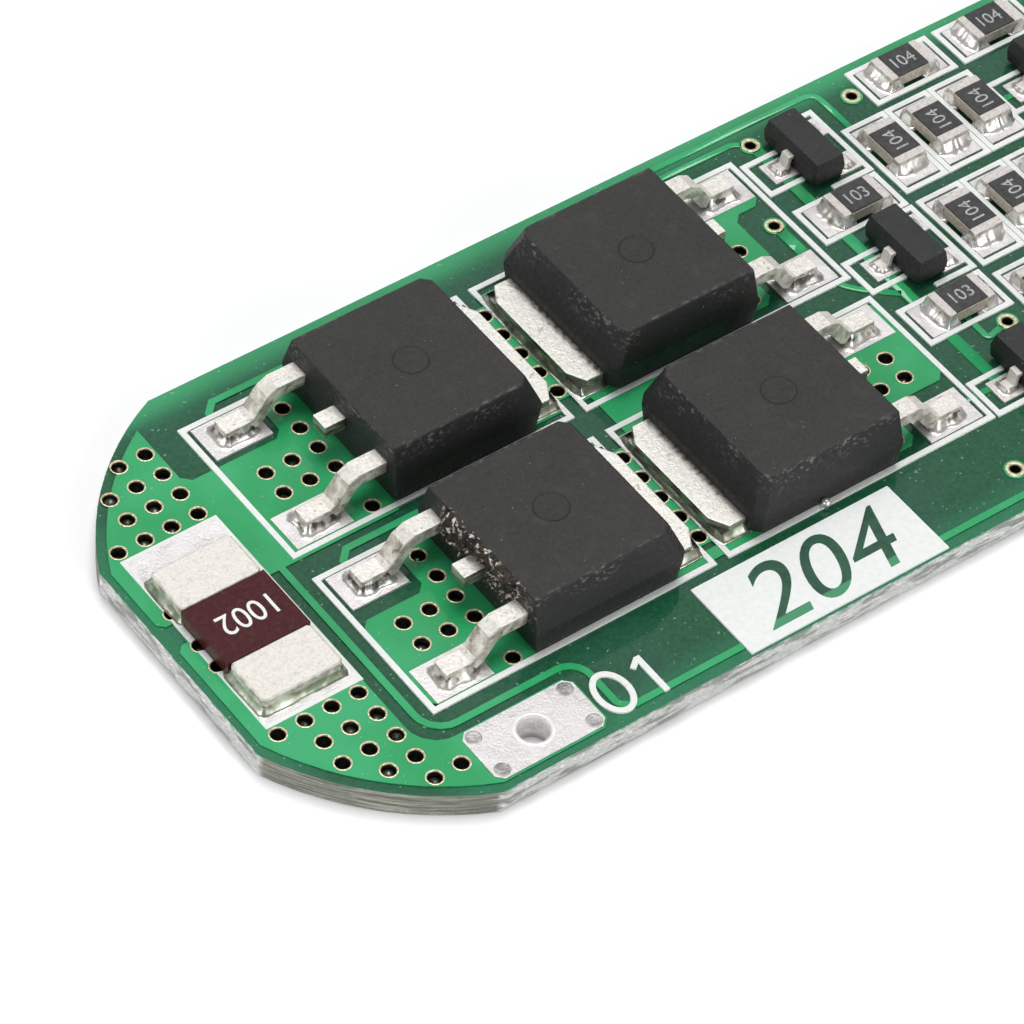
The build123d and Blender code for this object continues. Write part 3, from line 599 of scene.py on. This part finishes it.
SHARP_ANGLE = radians(28)
WELD_DISTANCE = 0.001 * MM


def look_for(name):
    """The finish of a CAD node, from its name."""
    if name.startswith("mosfet") and name.endswith("body"):
        return "mosfet"
    if name.startswith("mosfet") and name.endswith("lead"):
        return "lead"
    for start, look in STARTS:
        if name.startswith(start):
            return look
    return next(look for ending, look in ENDINGS if name.endswith(ending))


def soften(node, width):
    """Joins the facets of a node and rounds its edges."""
    weld = node.modifiers.new("weld", "WELD")
    weld.merge_threshold = WELD_DISTANCE
    bevel = node.modifiers.new("bevel", "BEVEL")
    bevel.width = width * MM
    bevel.segments = 2
    bevel.limit_method = "ANGLE"
    bevel.angle_limit = SHARP_ANGLE


for name, node in nodes.items():
    node.data.materials.clear()
    node.data.materials.append(LOOKS[look_for(name)])
    for ending, width in SOFT_EDGES:
        if name.endswith(ending) and name != SHARP_NODE:
            soften(node, width)


# Mesh helpers: every shape is given in millimetres in the part's own frame


class Shape:
    """Collects vertices and faces, then becomes one piece riding on the part."""

    def __init__(self):
        self.points = []
        self.faces = []

    def loops(self, rings, close=True, cap_start=False, cap_end=False):
        """Skin a row of rings that have the same number of points."""
        sides = len(rings[0])
        first = len(self.points)
        for loop in rings:
            self.points.extend(loop)
        for row in range(len(rings) - 1):
            a = first + row * sides
            b = a + sides
            for k in range(sides if close else sides - 1):
                n = (k + 1) % sides
                self.faces.append((a + k, a + n, b + n, b + k))
        if cap_start:
            self.faces.append(tuple(range(first + sides - 1, first - 1, -1)))
        if cap_end:
            end = first + (len(rings) - 1) * sides
            self.faces.append(tuple(range(end, end + sides)))

    def lathe(self, x, y, profile, sides, cap_start=False, cap_end=False):
        """A round form about an upright axis, with a radius and a height for each loop."""
        rings = [ring(x, y, z, radius, sides) for radius, z in profile]
        self.loops(rings, cap_start=cap_start, cap_end=cap_end)

    def piece(self, name, look, smooth=True):
        mesh = bpy.data.meshes.new(name)
        mesh.from_pydata([tuple(c * MM for c in p) for p in self.points], [], self.faces)
        mesh.polygons.foreach_set("use_smooth", [smooth] * len(mesh.polygons))
        mesh.materials.append(LOOKS[look])
        mesh.update()
        thing = bpy.data.objects.new(name, mesh)
        scene.collection.objects.link(thing)
        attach(thing, "root")
        return thing


def ring(x, y, z, radius, sides):
    angles = [2 * pi * k / sides for k in range(sides)]
    return [(x + radius * cos(a), y + radius * sin(a), z) for a in angles]


def along(distance):
    """X of a point this far from the scored shunt end."""
    return NEAR + distance


def lump_at(*place):
    """Smooth noise, from about minus one to one."""
    return noise.noise(Vector(place))


CORNER_SHARE = 0.45


def rounded(points, radius, steps=6):
    """The path with its corners turned into short curves."""
    points = [Vector(p) for p in points]
    if radius == 0:
        return points
    path = [points[0]]
    for before, corner, after in zip(points, points[1:], points[2:]):
        back, on = before - corner, after - corner
        start = corner + back.normalized() * min(radius, back.length * CORNER_SHARE)
        end = corner + on.normalized() * min(radius, on.length * CORNER_SHARE)
        for step in range(steps + 1):
            t = step / steps
            path.append(start * (1 - t) ** 2 + corner * (2 * t * (1 - t)) + end * t**2)
    path.append(points[-1])
    return path


def ribbon(shape, points, width, low, high, radius=0.2, ease=0.03):
    """A flat strip with softened top edges that follows a path."""
    path = rounded(points, radius)
    half = width / 2
    section = (
        (half, low),
        (half, high - ease / 2),
        (half - ease, high),
        (ease - half, high),
        (-half, high - ease / 2),
        (-half, low),
    )
    rings = []
    for index, point in enumerate(path):
        course = path[min(index + 1, len(path) - 1)] - path[max(index - 1, 0)]
        side = Vector((-course.y, course.x)).normalized()
        rings.append([(point.x + side.x * off, point.y + side.y * off, z) for off, z in section])
    shape.loops(rings, cap_start=True, cap_end=True)


# Fine signal traces and the rings round the signal holes, under the mask

TRACE_TOP = COPPER - 0.0015
FINE = 0.25
WIDE = 0.46
SIGNAL_RING = (
    (0.40, LAMINATE),
    (0.40, TRACE_TOP - 0.01),
    (0.37, TRACE_TOP),
    (0.20, TRACE_TOP),
)
# Places: distance from the scored shunt end, and y
SIGNALS = [(27.66, 4.88), (29.40, 8.40), (33.92, 8.42), (31.48, -2.96), (27.36, -8.25)]
SIGNALS += [(38.60, -6.10), (47.20, -6.10), (46.60, 8.20), (52.30, 1.20)]
# Path, width and radius of the corners
traces = [
    ([(21.5, 9.30), (32.9, 9.30), (32.9, 7.2)], FINE, 0.5),
    ([(21.5, 8.80), (28.9, 8.80), (29.25, 8.52)], FINE, 0.2),
    ([(27.70, 4.60), (27.70, 3.2)], WIDE, 0.1),
    ([(27.62, 1.8), (28.1, 1.05), (29.3, 0.02)], FINE, 0.4),
    ([(27.4, -5.0), (29.2, -5.0)], FINE, 0.1),
    ([(29.45, 8.10), (29.45, -5.0)], WIDE, 0.1),
    ([(30.45, -1.5), (30.45, -3.2), (31.2, -3.02)], FINE, 0.2),
    ([(42.4, 7.6), (42.4, -5.4)], WIDE, 0.1),
]
for y in ROWS:
    traces.append(([(39.4, y), (37.7, y), (37.3, y - 0.9)], FINE, 0.2))
    traces.append(([(41.2, y + 0.95), (43.9, y + 0.95)], FINE, 0.1))
    traces.append(([(48.2, y - 1.0), (50.1, y - 1.0)], WIDE, 0.1))
for x in (34.5, 43.5):
    traces.append(([(x, -7.2), (x, -5.5), (x + 1.6, -5.5), (x + 1.6, -4.1)], WIDE, 0.5))

wiring = Shape()
for points, width, radius in traces:
    ribbon(wiring, [(along(x), y) for x, y in points], width, LAMINATE, TRACE_TOP, radius)
for x, y in SIGNALS:
    wiring.lathe(along(x), y, SIGNAL_RING, sides=32)
wiring.piece("signal_traces", "board")

# Plated barrels in the small holes, each with a thin tan rim on both faces
FIRST_COLUMN = 0.94
UPPER_ROW = 4.785
LOWER_ROW = -4.12
vias = []
for row, first in enumerate((0, 1, 1, 2)):
    vias += [(FIRST_COLUMN + c * VIA_PITCH, UPPER_ROW + row * VIA_PITCH) for c in range(first, 4)]
for row, (first, last) in enumerate(((0, 3), (1, 3), (1, 3), (2, 3), (3, 4))):
    columns = range(first, last + 1)
    vias += [(FIRST_COLUMN + c * VIA_PITCH, LOWER_ROW - row * VIA_PITCH) for c in columns]
vias += [(FIRST_COLUMN, y) for y in (1.74, 0.19, -0.83)]
# The leads of the first two transistors point to the shunt end, those of the others away
MOSFETS = [(x, y, hand) for x, hand in zip(MOSFET_FROM_NEAR, (1, -1)) for y in MOSFET_Y]
LEAD_SIDE_ROWS = ((0, 1, 2, 3, 5), (2, 3), (2, 3))
LEAD_SIDE_REACH = 3.61
LEAD_SIDE_COLUMN = 1.025
LEAD_SIDE_TOP = 2.27
for index, (x, y, hand) in enumerate(MOSFETS):
    for column, rows in enumerate(LEAD_SIDE_ROWS):
        for row in rows:
            # The third one lacks the holes that would lie next to a signal hole
            if index == 2 and column > 0 and column + row > 3:
                continue
            across = -LEAD_SIDE_REACH - column * LEAD_SIDE_COLUMN
            up = LEAD_SIDE_TOP - row * VIA_PITCH
            vias.append((x + hand * across, y + hand * up))
for y in MOSFET_Y:
    vias += [(TAB_VIA_FROM_NEAR, y + row * VIA_PITCH) for row in range(-2, 3)]


def barrel(shape, x, y, inner, outer):
    """A plated tube through the board with a low rounded rim on top."""
    bore = inner - 0.004
    middle = (inner + outer) / 2
    profile = (
        (outer, 0.0006),
        (middle, 0.0004),
        (bore, 0.0006),
        (bore, COPPER - 0.04),
        (inner + 0.012, COPPER + 0.006),
        (middle, COPPER + 0.009),
        (outer, COPPER + 0.002),
    )
    shape.lathe(x, y, profile, sides=28)


plating = Shape()
for x, y in vias:
    barrel(plating, along(x), y, inner=0.25, outer=0.31)
for x, y in SIGNALS:
    barrel(plating, along(x), y, inner=0.20, outer=0.33)
plating.piece("hole_plating", "barrel")

# Solder left standing in some holes, with a low crown that leans to one side
BEAD_SHARE = 0.45
BEAD_RADIUS = 0.245
BEAD_STEPS = 5
beads = Shape()
luck = Random(7)
for x, y in vias:
    if luck.random() < BEAD_SHARE:
        depth = 0.50 + 0.3 * luck.random()
        lean = 2 * pi * luck.random()
        rings = []
        for step in range(BEAD_STEPS + 1):
            reach = BEAD_RADIUS * (1 - step / BEAD_STEPS) + 0.002
            crown = 0.15 * (1 - (reach / BEAD_RADIUS) ** 2)
            shift = 0.05 * (1 - reach / BEAD_RADIUS)
            centre_x = along(x) + shift * cos(lean)
            centre_y = y + shift * sin(lean)
            rings.append(ring(centre_x, centre_y, depth + crown, reach, sides=18))
        beads.loops(rings, cap_end=True)
# The beads are coloured dark with painted shade, down in their holes
beads.piece("solder_beads", "bead")

# Silvered barrels and flared rims of the wire holes
WIRE_PAD_Y = -8.36
WIRE_PADS = [(along(x), WIRE_PAD_Y) for x in (7.65, 34.5, 43.5)] + [(FAR - 7.65, WIRE_PAD_Y)]
THROAT = (
    (0.70, 0.002),
    (0.60, 0.001),
    (0.500, 0.04),
    (0.505, 0.30),
    (0.525, 0.60),
    (0.535, 0.92),
    (0.548, LAND - 0.02),
    (0.575, LAND + 0.008),
    (0.625, LAND + 0.012),
    (0.68, LAND + 0.001),
)
throats = Shape()
for x, y in WIRE_PADS:
    throats.lathe(x, y, THROAT, sides=56)
throats.piece("wire_barrels", "throat")

# Solder menisci round feet and terminals
SKIRT_STEPS = 8
SKIRT_START = 0.004
CORNER_SPREAD = 0.6
SEED_STEP = 3.1
seeds = count(1.0 + SEED_STEP, SEED_STEP)


def meniscus(shape, place, foot, rise, reach, sides, turn=0.0, aside=1.0, unrest=1.0):
    """A concave skirt of solder from a rectangular foot down onto its land.

    The foot is a length and a width, turned by an angle. The skirt's reach across the
    length is scaled by aside, and unrest is how far its outline wanders.
    """
    x, y = place
    half_length, half_width = foot[0] / 2, foot[1] / 2
    turn_c, turn_s = cos(turn), sin(turn)
    seed = next(seeds)
    rings = []
    for step in range(SKIRT_STEPS + 1):
        t = step / SKIRT_STEPS
        loop = []
        for k in range(sides):
            angle = 2 * pi * (k + 0.5) / sides
            c, s = cos(angle), sin(angle)
            scale = min(half_length / max(abs(c), 1e-6), half_width / max(abs(s), 1e-6))
            # A slow wobble of the outline and a finer crinkle of the surface
            wobble = unrest * lump_at(c * 1.7 + seed, s * 1.7, seed * 0.37)
            crinkle = unrest * lump_at(c * 3.0 + seed, s * 3.0, t * 3.0 + seed)
            spread = reach * (1 + 0.40 * wobble) * t
            px, py = c * scale, s * scale
            on_x = 1 if abs(px) > half_length - 1e-4 else CORNER_SPREAD
            on_y = 1 if abs(py) > half_width - 1e-4 else CORNER_SPREAD
            px += spread * on_x * (1 if c > 0 else -1) * min(1, abs(c) * 2)
            py += aside * spread * on_y * (1 if s > 0 else -1) * min(1, abs(s) * 2)
            bulge = 0.03 * rise * crinkle * sin(pi * t)
            height = rise * (1 + 0.2 * wobble) * (1 - t) ** 2 + bulge
            z = LAND + max(height, 0) + SKIRT_START * (1 - t)
            loop.append((x + px * turn_c - py * turn_s, y + px * turn_s + py * turn_c, z))
        rings.append(loop)
    shape.loops(rings)


FOOT_REACH = 5.52
TAB_JOINT_REACH = 3.45
grimy_joints = Shape()
for x, y, hand in MOSFETS:
    for side in (-1, 1):
        place = (along(x) + hand * -FOOT_REACH, y + side * OUTER_LEAD)
        meniscus(grimy_joints, place, (1.02, 0.70), rise=0.34, reach=0.28, sides=44)
grimy_joints.piece("transistor_foot_joints", "grimy")

# Places: distance from the scored shunt end, and y
GATE_DRIVERS = [(30.5, 6.88), (30.5, 1.33), (30.5, -5.30)]
BALANCE_TRANSISTORS = [(40.25, y) for y in ROWS]
PROTECTION_FROM_NEAR = 44.9
CAPACITOR_END = 0.63
CAPACITOR_FOOT = (0.80, 0.34)
SMALL_FOOT = (0.34, 0.42)
FOOT_OUT = 1.04
FOOT_ASIDE = 0.95
THREE_FEET = ((-FOOT_OUT, 0), (FOOT_OUT, FOOT_ASIDE), (FOOT_OUT, -FOOT_ASIDE))
joints = Shape()
for x, y in GATE_DRIVERS + BALANCE_TRANSISTORS:
    for dx, dy in THREE_FEET:
        place = (along(x) + dx, y + dy)
        meniscus(joints, place, SMALL_FOOT, rise=0.14, reach=0.17, sides=28)
for y in ROWS:
    for dx in (-FOOT_OUT, FOOT_OUT):
        for dy in (-FOOT_ASIDE, 0, FOOT_ASIDE):
            place = (along(PROTECTION_FROM_NEAR) + dx, y + dy)
            meniscus(joints, place, SMALL_FOOT, rise=0.13, reach=0.10, sides=28)
    for hand in (-1, 1):
        place = (along(FILTER_FROM_NEAR), y + hand * CAPACITOR_END)
        meniscus(joints, place, CAPACITOR_FOOT, rise=0.34, reach=0.24, sides=40)
joints.piece("solder_joints", "joint")

# Joints at the tabs and the shunt, coloured with a painted dark, greenish reflection
joints_with_painted_reflection = Shape()
for side in (-1, 1):
    place = (along(2.50), -0.07 + side * 2.235)
    meniscus(joints_with_painted_reflection, place, (3.02, 1.86), rise=0.30, reach=0.20, sides=96)
for x, y, hand in MOSFETS:
    place = (along(x) + hand * TAB_JOINT_REACH, y)
    meniscus(joints_with_painted_reflection, place, (1.05, 5.20), rise=0.26, reach=0.20, sides=120)
joints_with_painted_reflection.piece("tab_and_shunt_joints", "shade")

# Concave glassy solder in place of the plain wedges at the chip resistors
# Places: distance from the scored shunt end, y and turn in degrees
CHIP_END = 0.82
CHIP_FOOT = (0.364, 1.254)
GATE_CHIPS = [(30.58, y, 0) for y in (4.10, -1.50)]
CELL_CHIPS = [[(33.4 + column * CHIP_PITCH, y + 0.09, 90) for column in range(3)] for y in ROWS]
EDGE_CHIPS = [(36.2 + column * 3.95, 8.45, 0) for column in range(3)]
FILTER_CHIPS = [(FILTER_FROM_NEAR + CHIP_PITCH, y, 90) for y in ROWS]
wicks = Shape()
for x, y, turn in GATE_CHIPS + sum(CELL_CHIPS, []) + EDGE_CHIPS + FILTER_CHIPS:
    a = radians(turn)
    for hand in (-1, 1):
        place = (along(x) + hand * CHIP_END * cos(a), y + hand * CHIP_END * sin(a))
        meniscus(
            wicks,
            place,
            CHIP_FOOT,
            rise=0.34,
            reach=0.38,
            sides=56,
            turn=a,
            aside=0.3,
            unrest=0.45,
        )
wick_piece = wicks.piece("resistor_solder_joints", "joint")
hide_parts("resistor_solder_fillets")

# Burnt flux baked onto the lead side of the lower left transistor, between its leads
CRUST_ROWS = 36
CRUST_COLUMNS = 130
CRUST_START = MOSFET_Y[1] - 2.55
CRUST_WIDTH = 4.75
CRUST_LOW = 2.58
CRUST_HANG = 0.65
WALL_SHARE = 0.8
FACE = MOSFET_X[0] - 3.05
FACE_TOP = 2.3
LEDGE = MOSFET_X[0] - 2.95
LEDGE_REACH = 0.30
LEDGE_SHARE = 0.2
TURN_START = 0.65
TURN_SHARE = 0.30
LEAD_CLEAR = 0.40
LEAD_EASE = 0.25
MOULD_TOP = LAND + 2.30


def crust_point(t, u):
    """A point of the crust, where t goes up the wall and over its edge and u runs along it."""
    y = CRUST_START + CRUST_WIDTH * u
    to_lead = min(abs(y - MOSFET_Y[1] - lead) for lead in (-OUTER_LEAD, 0.0, OUTER_LEAD))
    # Between the leads the crust hangs lower down the wall
    low = CRUST_LOW - CRUST_HANG * min(1.0, max(0.0, (to_lead - LEAD_CLEAR) / LEAD_EASE))
    patch = lump_at(y * 0.9, t * 1.6, 4.0)
    lump = abs(lump_at(y * 3.0, t * 5.0, 9.0)) + 0.6 * abs(lump_at(y * 8.0, t * 13.0, 2.0))
    edge = min(1.0, 6 * t, 6 * (1 - t), 8 * u, 8 * (1 - u))
    out = (0.07 + 0.30 * lump + 0.22 * patch) * edge - 0.035
    turn = min(1.0, max(0.0, (t - TURN_START) / TURN_SHARE))
    if t < WALL_SHARE:
        z = low + (MOULD_TOP - low) * t / WALL_SHARE
        x = FACE + (LEDGE - FACE) * max(0.0, (z - FACE_TOP) / (MOULD_TOP - FACE_TOP))
    else:
        z = MOULD_TOP
        x = LEDGE + LEDGE_REACH * (t - WALL_SHARE) / LEDGE_SHARE
    lifted = min(z + out * sin(turn * pi / 2), MOULD_TOP - HAIR)
    return (x - out * cos(turn * pi / 2), y, lifted)


crust_lines = []
for row in range(CRUST_ROWS + 1):
    t = row / CRUST_ROWS
    crust_lines.append([crust_point(t, k / CRUST_COLUMNS) for k in range(CRUST_COLUMNS + 1)])
crust = Shape()
crust.loops(crust_lines, close=False)
crust.piece("burnt_flux", "crust")

# Grey dimples in the corners of the wire pads
DIMPLE = (
    (0.275, LAND + 0.001),
    (0.25, LAND + 0.016),
    (0.21, LAND + 0.006),
    (0.12, LAND + 0.003),
    (0.05, LAND + 0.002),
)
DIMPLE_X = 1.77
DIMPLE_Y = 0.76
dimples = Shape()
for pad_x, pad_y in WIRE_PADS:
    for dx in (-DIMPLE_X, DIMPLE_X):
        for dy in (-DIMPLE_Y, DIMPLE_Y):
            dimples.lathe(pad_x + dx, pad_y + dy, DIMPLE, sides=28, cap_end=True)
dimples.piece("pad_dimples", "dimple")

# Dashes of the printed frames between the holes of the tabs
DASH_COLUMNS = (16.52, 17.20)
DASH_ROWS = (-1.5, -0.5, 0.5, 1.5)
DASH_HALF = 0.24
DASH_WIDTH = 0.20
dashes = Shape()
for y in MOSFET_Y:
    for x in DASH_COLUMNS:
        for row in DASH_ROWS:
            middle = y + row * VIA_PITCH
            dash = [(along(x), middle - DASH_HALF), (along(x), middle + DASH_HALF)]
            ribbon(dashes, dash, DASH_WIDTH, COPPER - 0.01, LAND + 0.006, ease=0.01)
dashes.piece("tab_dashes", "print")

# A stray ball of solder by the label
BALL_RADIUS = 0.17
BALL_POLE = 0.004
BALL_STEPS = 10
BALL_BOTTOM = COPPER + 0.003
ball_profile = []
for k in range(BALL_STEPS + 1):
    a = pi * k / BALL_STEPS
    height = BALL_BOTTOM + BALL_RADIUS * (1 - cos(a))
    ball_profile.append((max(BALL_RADIUS * sin(a), BALL_POLE), height))
ball = Shape()
ball.lathe(along(21.1), -6.1, ball_profile, sides=20, cap_start=True, cap_end=True)
ball.piece("solder_ball", "joint")


# Plain numbers


def lettering(name, jobs, look):
    """Thin printed characters: each job is text, x, y, z, height, turn, stretch, slant."""
    merged = Shape()
    for text, x, y, z, height, turn, stretch, slant in jobs:
        curve = bpy.data.curves.new("scratch", "FONT")
        curve.body = text
        curve.align_x = "CENTER"
        curve.align_y = "CENTER"
        curve.shear = slant
        curve.resolution_u = 8
        holder = bpy.data.objects.new("scratch", curve)
        scene.collection.objects.link(holder)
        bpy.context.view_layer.update()
        drawn = holder.evaluated_get(bpy.context.evaluated_depsgraph_get())
        mesh = bpy.data.meshes.new_from_object(drawn)
        xs = [v.co.x for v in mesh.vertices]
        ys = [v.co.y for v in mesh.vertices]
        cx, cy = (max(xs) + min(xs)) / 2, (max(ys) + min(ys)) / 2
        k = height / (max(ys) - min(ys))
        a = radians(turn)
        flat = []
        for v in mesh.vertices:
            u, w = (v.co.x - cx) * k * stretch, (v.co.y - cy) * k
            flat.append((x + u * cos(a) - w * sin(a), y + u * sin(a) + w * cos(a)))
        base = len(merged.points)
        size = len(flat)
        merged.points += [(px, py, z) for px, py in flat]
        merged.points += [(px, py, z - INK) for px, py in flat]
        edges = {}
        for polygon in mesh.polygons:
            loop = list(polygon.vertices)
            merged.faces.append(tuple(base + i for i in loop))
            edges.update(dict.fromkeys(zip(loop, loop[1:] + loop[:1])))
        # An edge that only one face uses is an outline and gets a wall
        for i, j in edges:
            if (j, i) not in edges:
                merged.faces.append((base + i, base + i + size, base + j + size, base + j))
        bpy.data.objects.remove(holder)
        bpy.data.curves.remove(curve)
        bpy.data.meshes.remove(mesh)
    merged.piece(name, look, smooth=False)


CHIP_NUMBER_HEIGHT = 0.52
CHIP_NUMBER_STRETCH = 0.95


def chip_job(text, chip):
    """The lettering job for the number on a chip resistor."""
    x, y, turn = chip
    z = CHIP_TOP + INK
    return (text, along(x), y, z, CHIP_NUMBER_HEIGHT, turn, CHIP_NUMBER_STRETCH, 0.0)


chip_jobs = [chip_job("103", chip) for chip in GATE_CHIPS]
for trio, last in zip(CELL_CHIPS, FILTER_CHIPS):
    chip_jobs += [chip_job("104", chip) for chip in trio]
    chip_jobs.append(chip_job("102", last))
chip_jobs += [chip_job("104", chip) for chip in EDGE_CHIPS]
# Text, x, y, z, height, turn, stretch and slant
shunt_job = ("1002", along(2.55), -0.05, SHUNT_TOP + INK, 0.86, 180, 0.92, 0.0)
label_job = ("204", along(19.35), -8.12, PRINT + INK, 2.50, 0, 1.07, 0.28)
lettering("resistor_numbers", chip_jobs, "glaze_print")
lettering("shunt_number", [shunt_job], "print")
lettering("label_number", [label_job], "window")

# The pad number is drawn with the same narrow stroke as the frames
STROKE = 0.21
FLAG_STROKE = 0.20
FOOT_OF_STROKE = COPPER - 0.05
ZERO_STEPS = 40
ZERO_WIDE = 0.55
ZERO_HIGH = 0.80
zero_x, zero_y = along(10.62), -8.52
zero = []
for k in range(ZERO_STEPS + 1):
    a = 2 * pi * k / ZERO_STEPS
    zero.append((zero_x + ZERO_WIDE * cos(a), zero_y + ZERO_HIGH * sin(a)))
stem = [(along(12.10), -7.76), (along(12.10), -9.40)]
flag = [(along(11.72), -8.10), (along(12.08), -7.82)]
strokes = Shape()
ribbon(strokes, zero, STROKE, FOOT_OF_STROKE, PRINT, radius=0.0, ease=0.01)
ribbon(strokes, stem, STROKE, FOOT_OF_STROKE, PRINT, ease=0.01)
ribbon(strokes, flag, FLAG_STROKE, FOOT_OF_STROKE, PRINT - HAIR, ease=0.01)
strokes.piece("pad_number", "print", smooth=False)

# Camera, taken from the fitted photograph
PHOTO_PIXELS = 1024
FOCAL_PIXELS = 5097.2745
SENSOR = 36.0
right = Vector((0.80356191, -0.5921779, 0.06011305))
down = Vector((-0.4109124, -0.62497021, -0.66374938))
ahead = Vector((0.43062658, 0.50866253, -0.7455355))
spot = Vector((NEAR - 58.1821343, -84.1334369, COPPER + 122.2749808)) * MM
camera_data = bpy.data.cameras.new("camera")
camera_data.sensor_width = SENSOR
camera_data.lens = FOCAL_PIXELS / PHOTO_PIXELS * SENSOR
camera_data.clip_start = 0.01
camera_data.clip_end = 10.0
camera = bpy.data.objects.new("camera", camera_data)
facing = Matrix((right, -down, -ahead)).transposed().to_4x4()
camera.matrix_world = Matrix.Translation(spot) @ facing
scene.collection.objects.link(camera)
scene.camera = camera

# White floor in metres, a hair below the part so that the two faces don't coincide
FLOOR_Z = -0.00003
FLOOR_REACH = 2
FLOOR_WHITE = (0.86, 0.86, 0.86, 1)
FLOOR_LIFT = 0.20
corners = [(-1, -1), (1, -1), (1, 1), (-1, 1)]
floor_points = [(FLOOR_REACH * x, FLOOR_REACH * y, FLOOR_Z) for x, y in corners]
floor_mesh = bpy.data.meshes.new("floor")
floor_mesh.from_pydata(floor_points, [], [(0, 1, 2, 3)])
floor = bpy.data.objects.new("floor", floor_mesh)
scene.collection.objects.link(floor)
paper = bpy.data.materials.new("paper")
paper.use_nodes = True
tree = paper.node_tree
sheet = next(n for n in tree.nodes if n.type == "BSDF_PRINCIPLED")
sheet.inputs["Base Color"].default_value = FLOOR_WHITE
sheet.inputs["Roughness"].default_value = 0.9
sheet.inputs["Specular IOR Level"].default_value = 0.1
# The floor is a little brighter to the camera than the light it gives back
rays = tree.nodes.new("ShaderNodeLightPath")
lift = tree.nodes.new("ShaderNodeMath")
lift.operation = "MULTIPLY"
lift.inputs[1].default_value = FLOOR_LIFT
tree.links.new(rays.outputs["Is Camera Ray"], lift.inputs[0])
sheet.inputs["Emission Color"].default_value = (1, 1, 1, 1)
tree.links.new(lift.outputs[0], sheet.inputs["Emission Strength"])
floor_mesh.materials.append(paper)

# Studio light: a faint cool surround and four soft boxes, with sizes and places in metres
SKY = (0.95, 0.98, 1.0, 1)
SKY_STRENGTH = 0.22
AIM = Vector((-0.010, 0.0, 0.001))
SOFT_BOXES = (
    ("key", (0.128, 0.153, 0.826), 0.40, 3.9),
    ("back", (0.37, 0.44, 0.63), 0.60, 0.50),
    ("front", (0.12, -0.75, 0.28), 0.60, 3.3),
    ("left", (-0.75, 0.10, 0.25), 0.60, 3.1),
)
world = bpy.data.worlds.new("studio")
world.use_nodes = True
world.node_tree.nodes["Background"].inputs[0].default_value = SKY
world.node_tree.nodes["Background"].inputs[1].default_value = SKY_STRENGTH
scene.world = world
for name, place, size, power in SOFT_BOXES:
    data = bpy.data.lights.new(name, "AREA")
    data.shape = "SQUARE"
    data.size = size
    data.energy = power
    lamp = bpy.data.objects.new(name, data)
    start = Vector(place)
    facing = (start - AIM).to_track_quat("Z", "Y").to_matrix().to_4x4()
    lamp.matrix_world = Matrix.Translation(start) @ facing
    scene.collection.objects.link(lamp)

scene.view_settings.view_transform = "Standard"
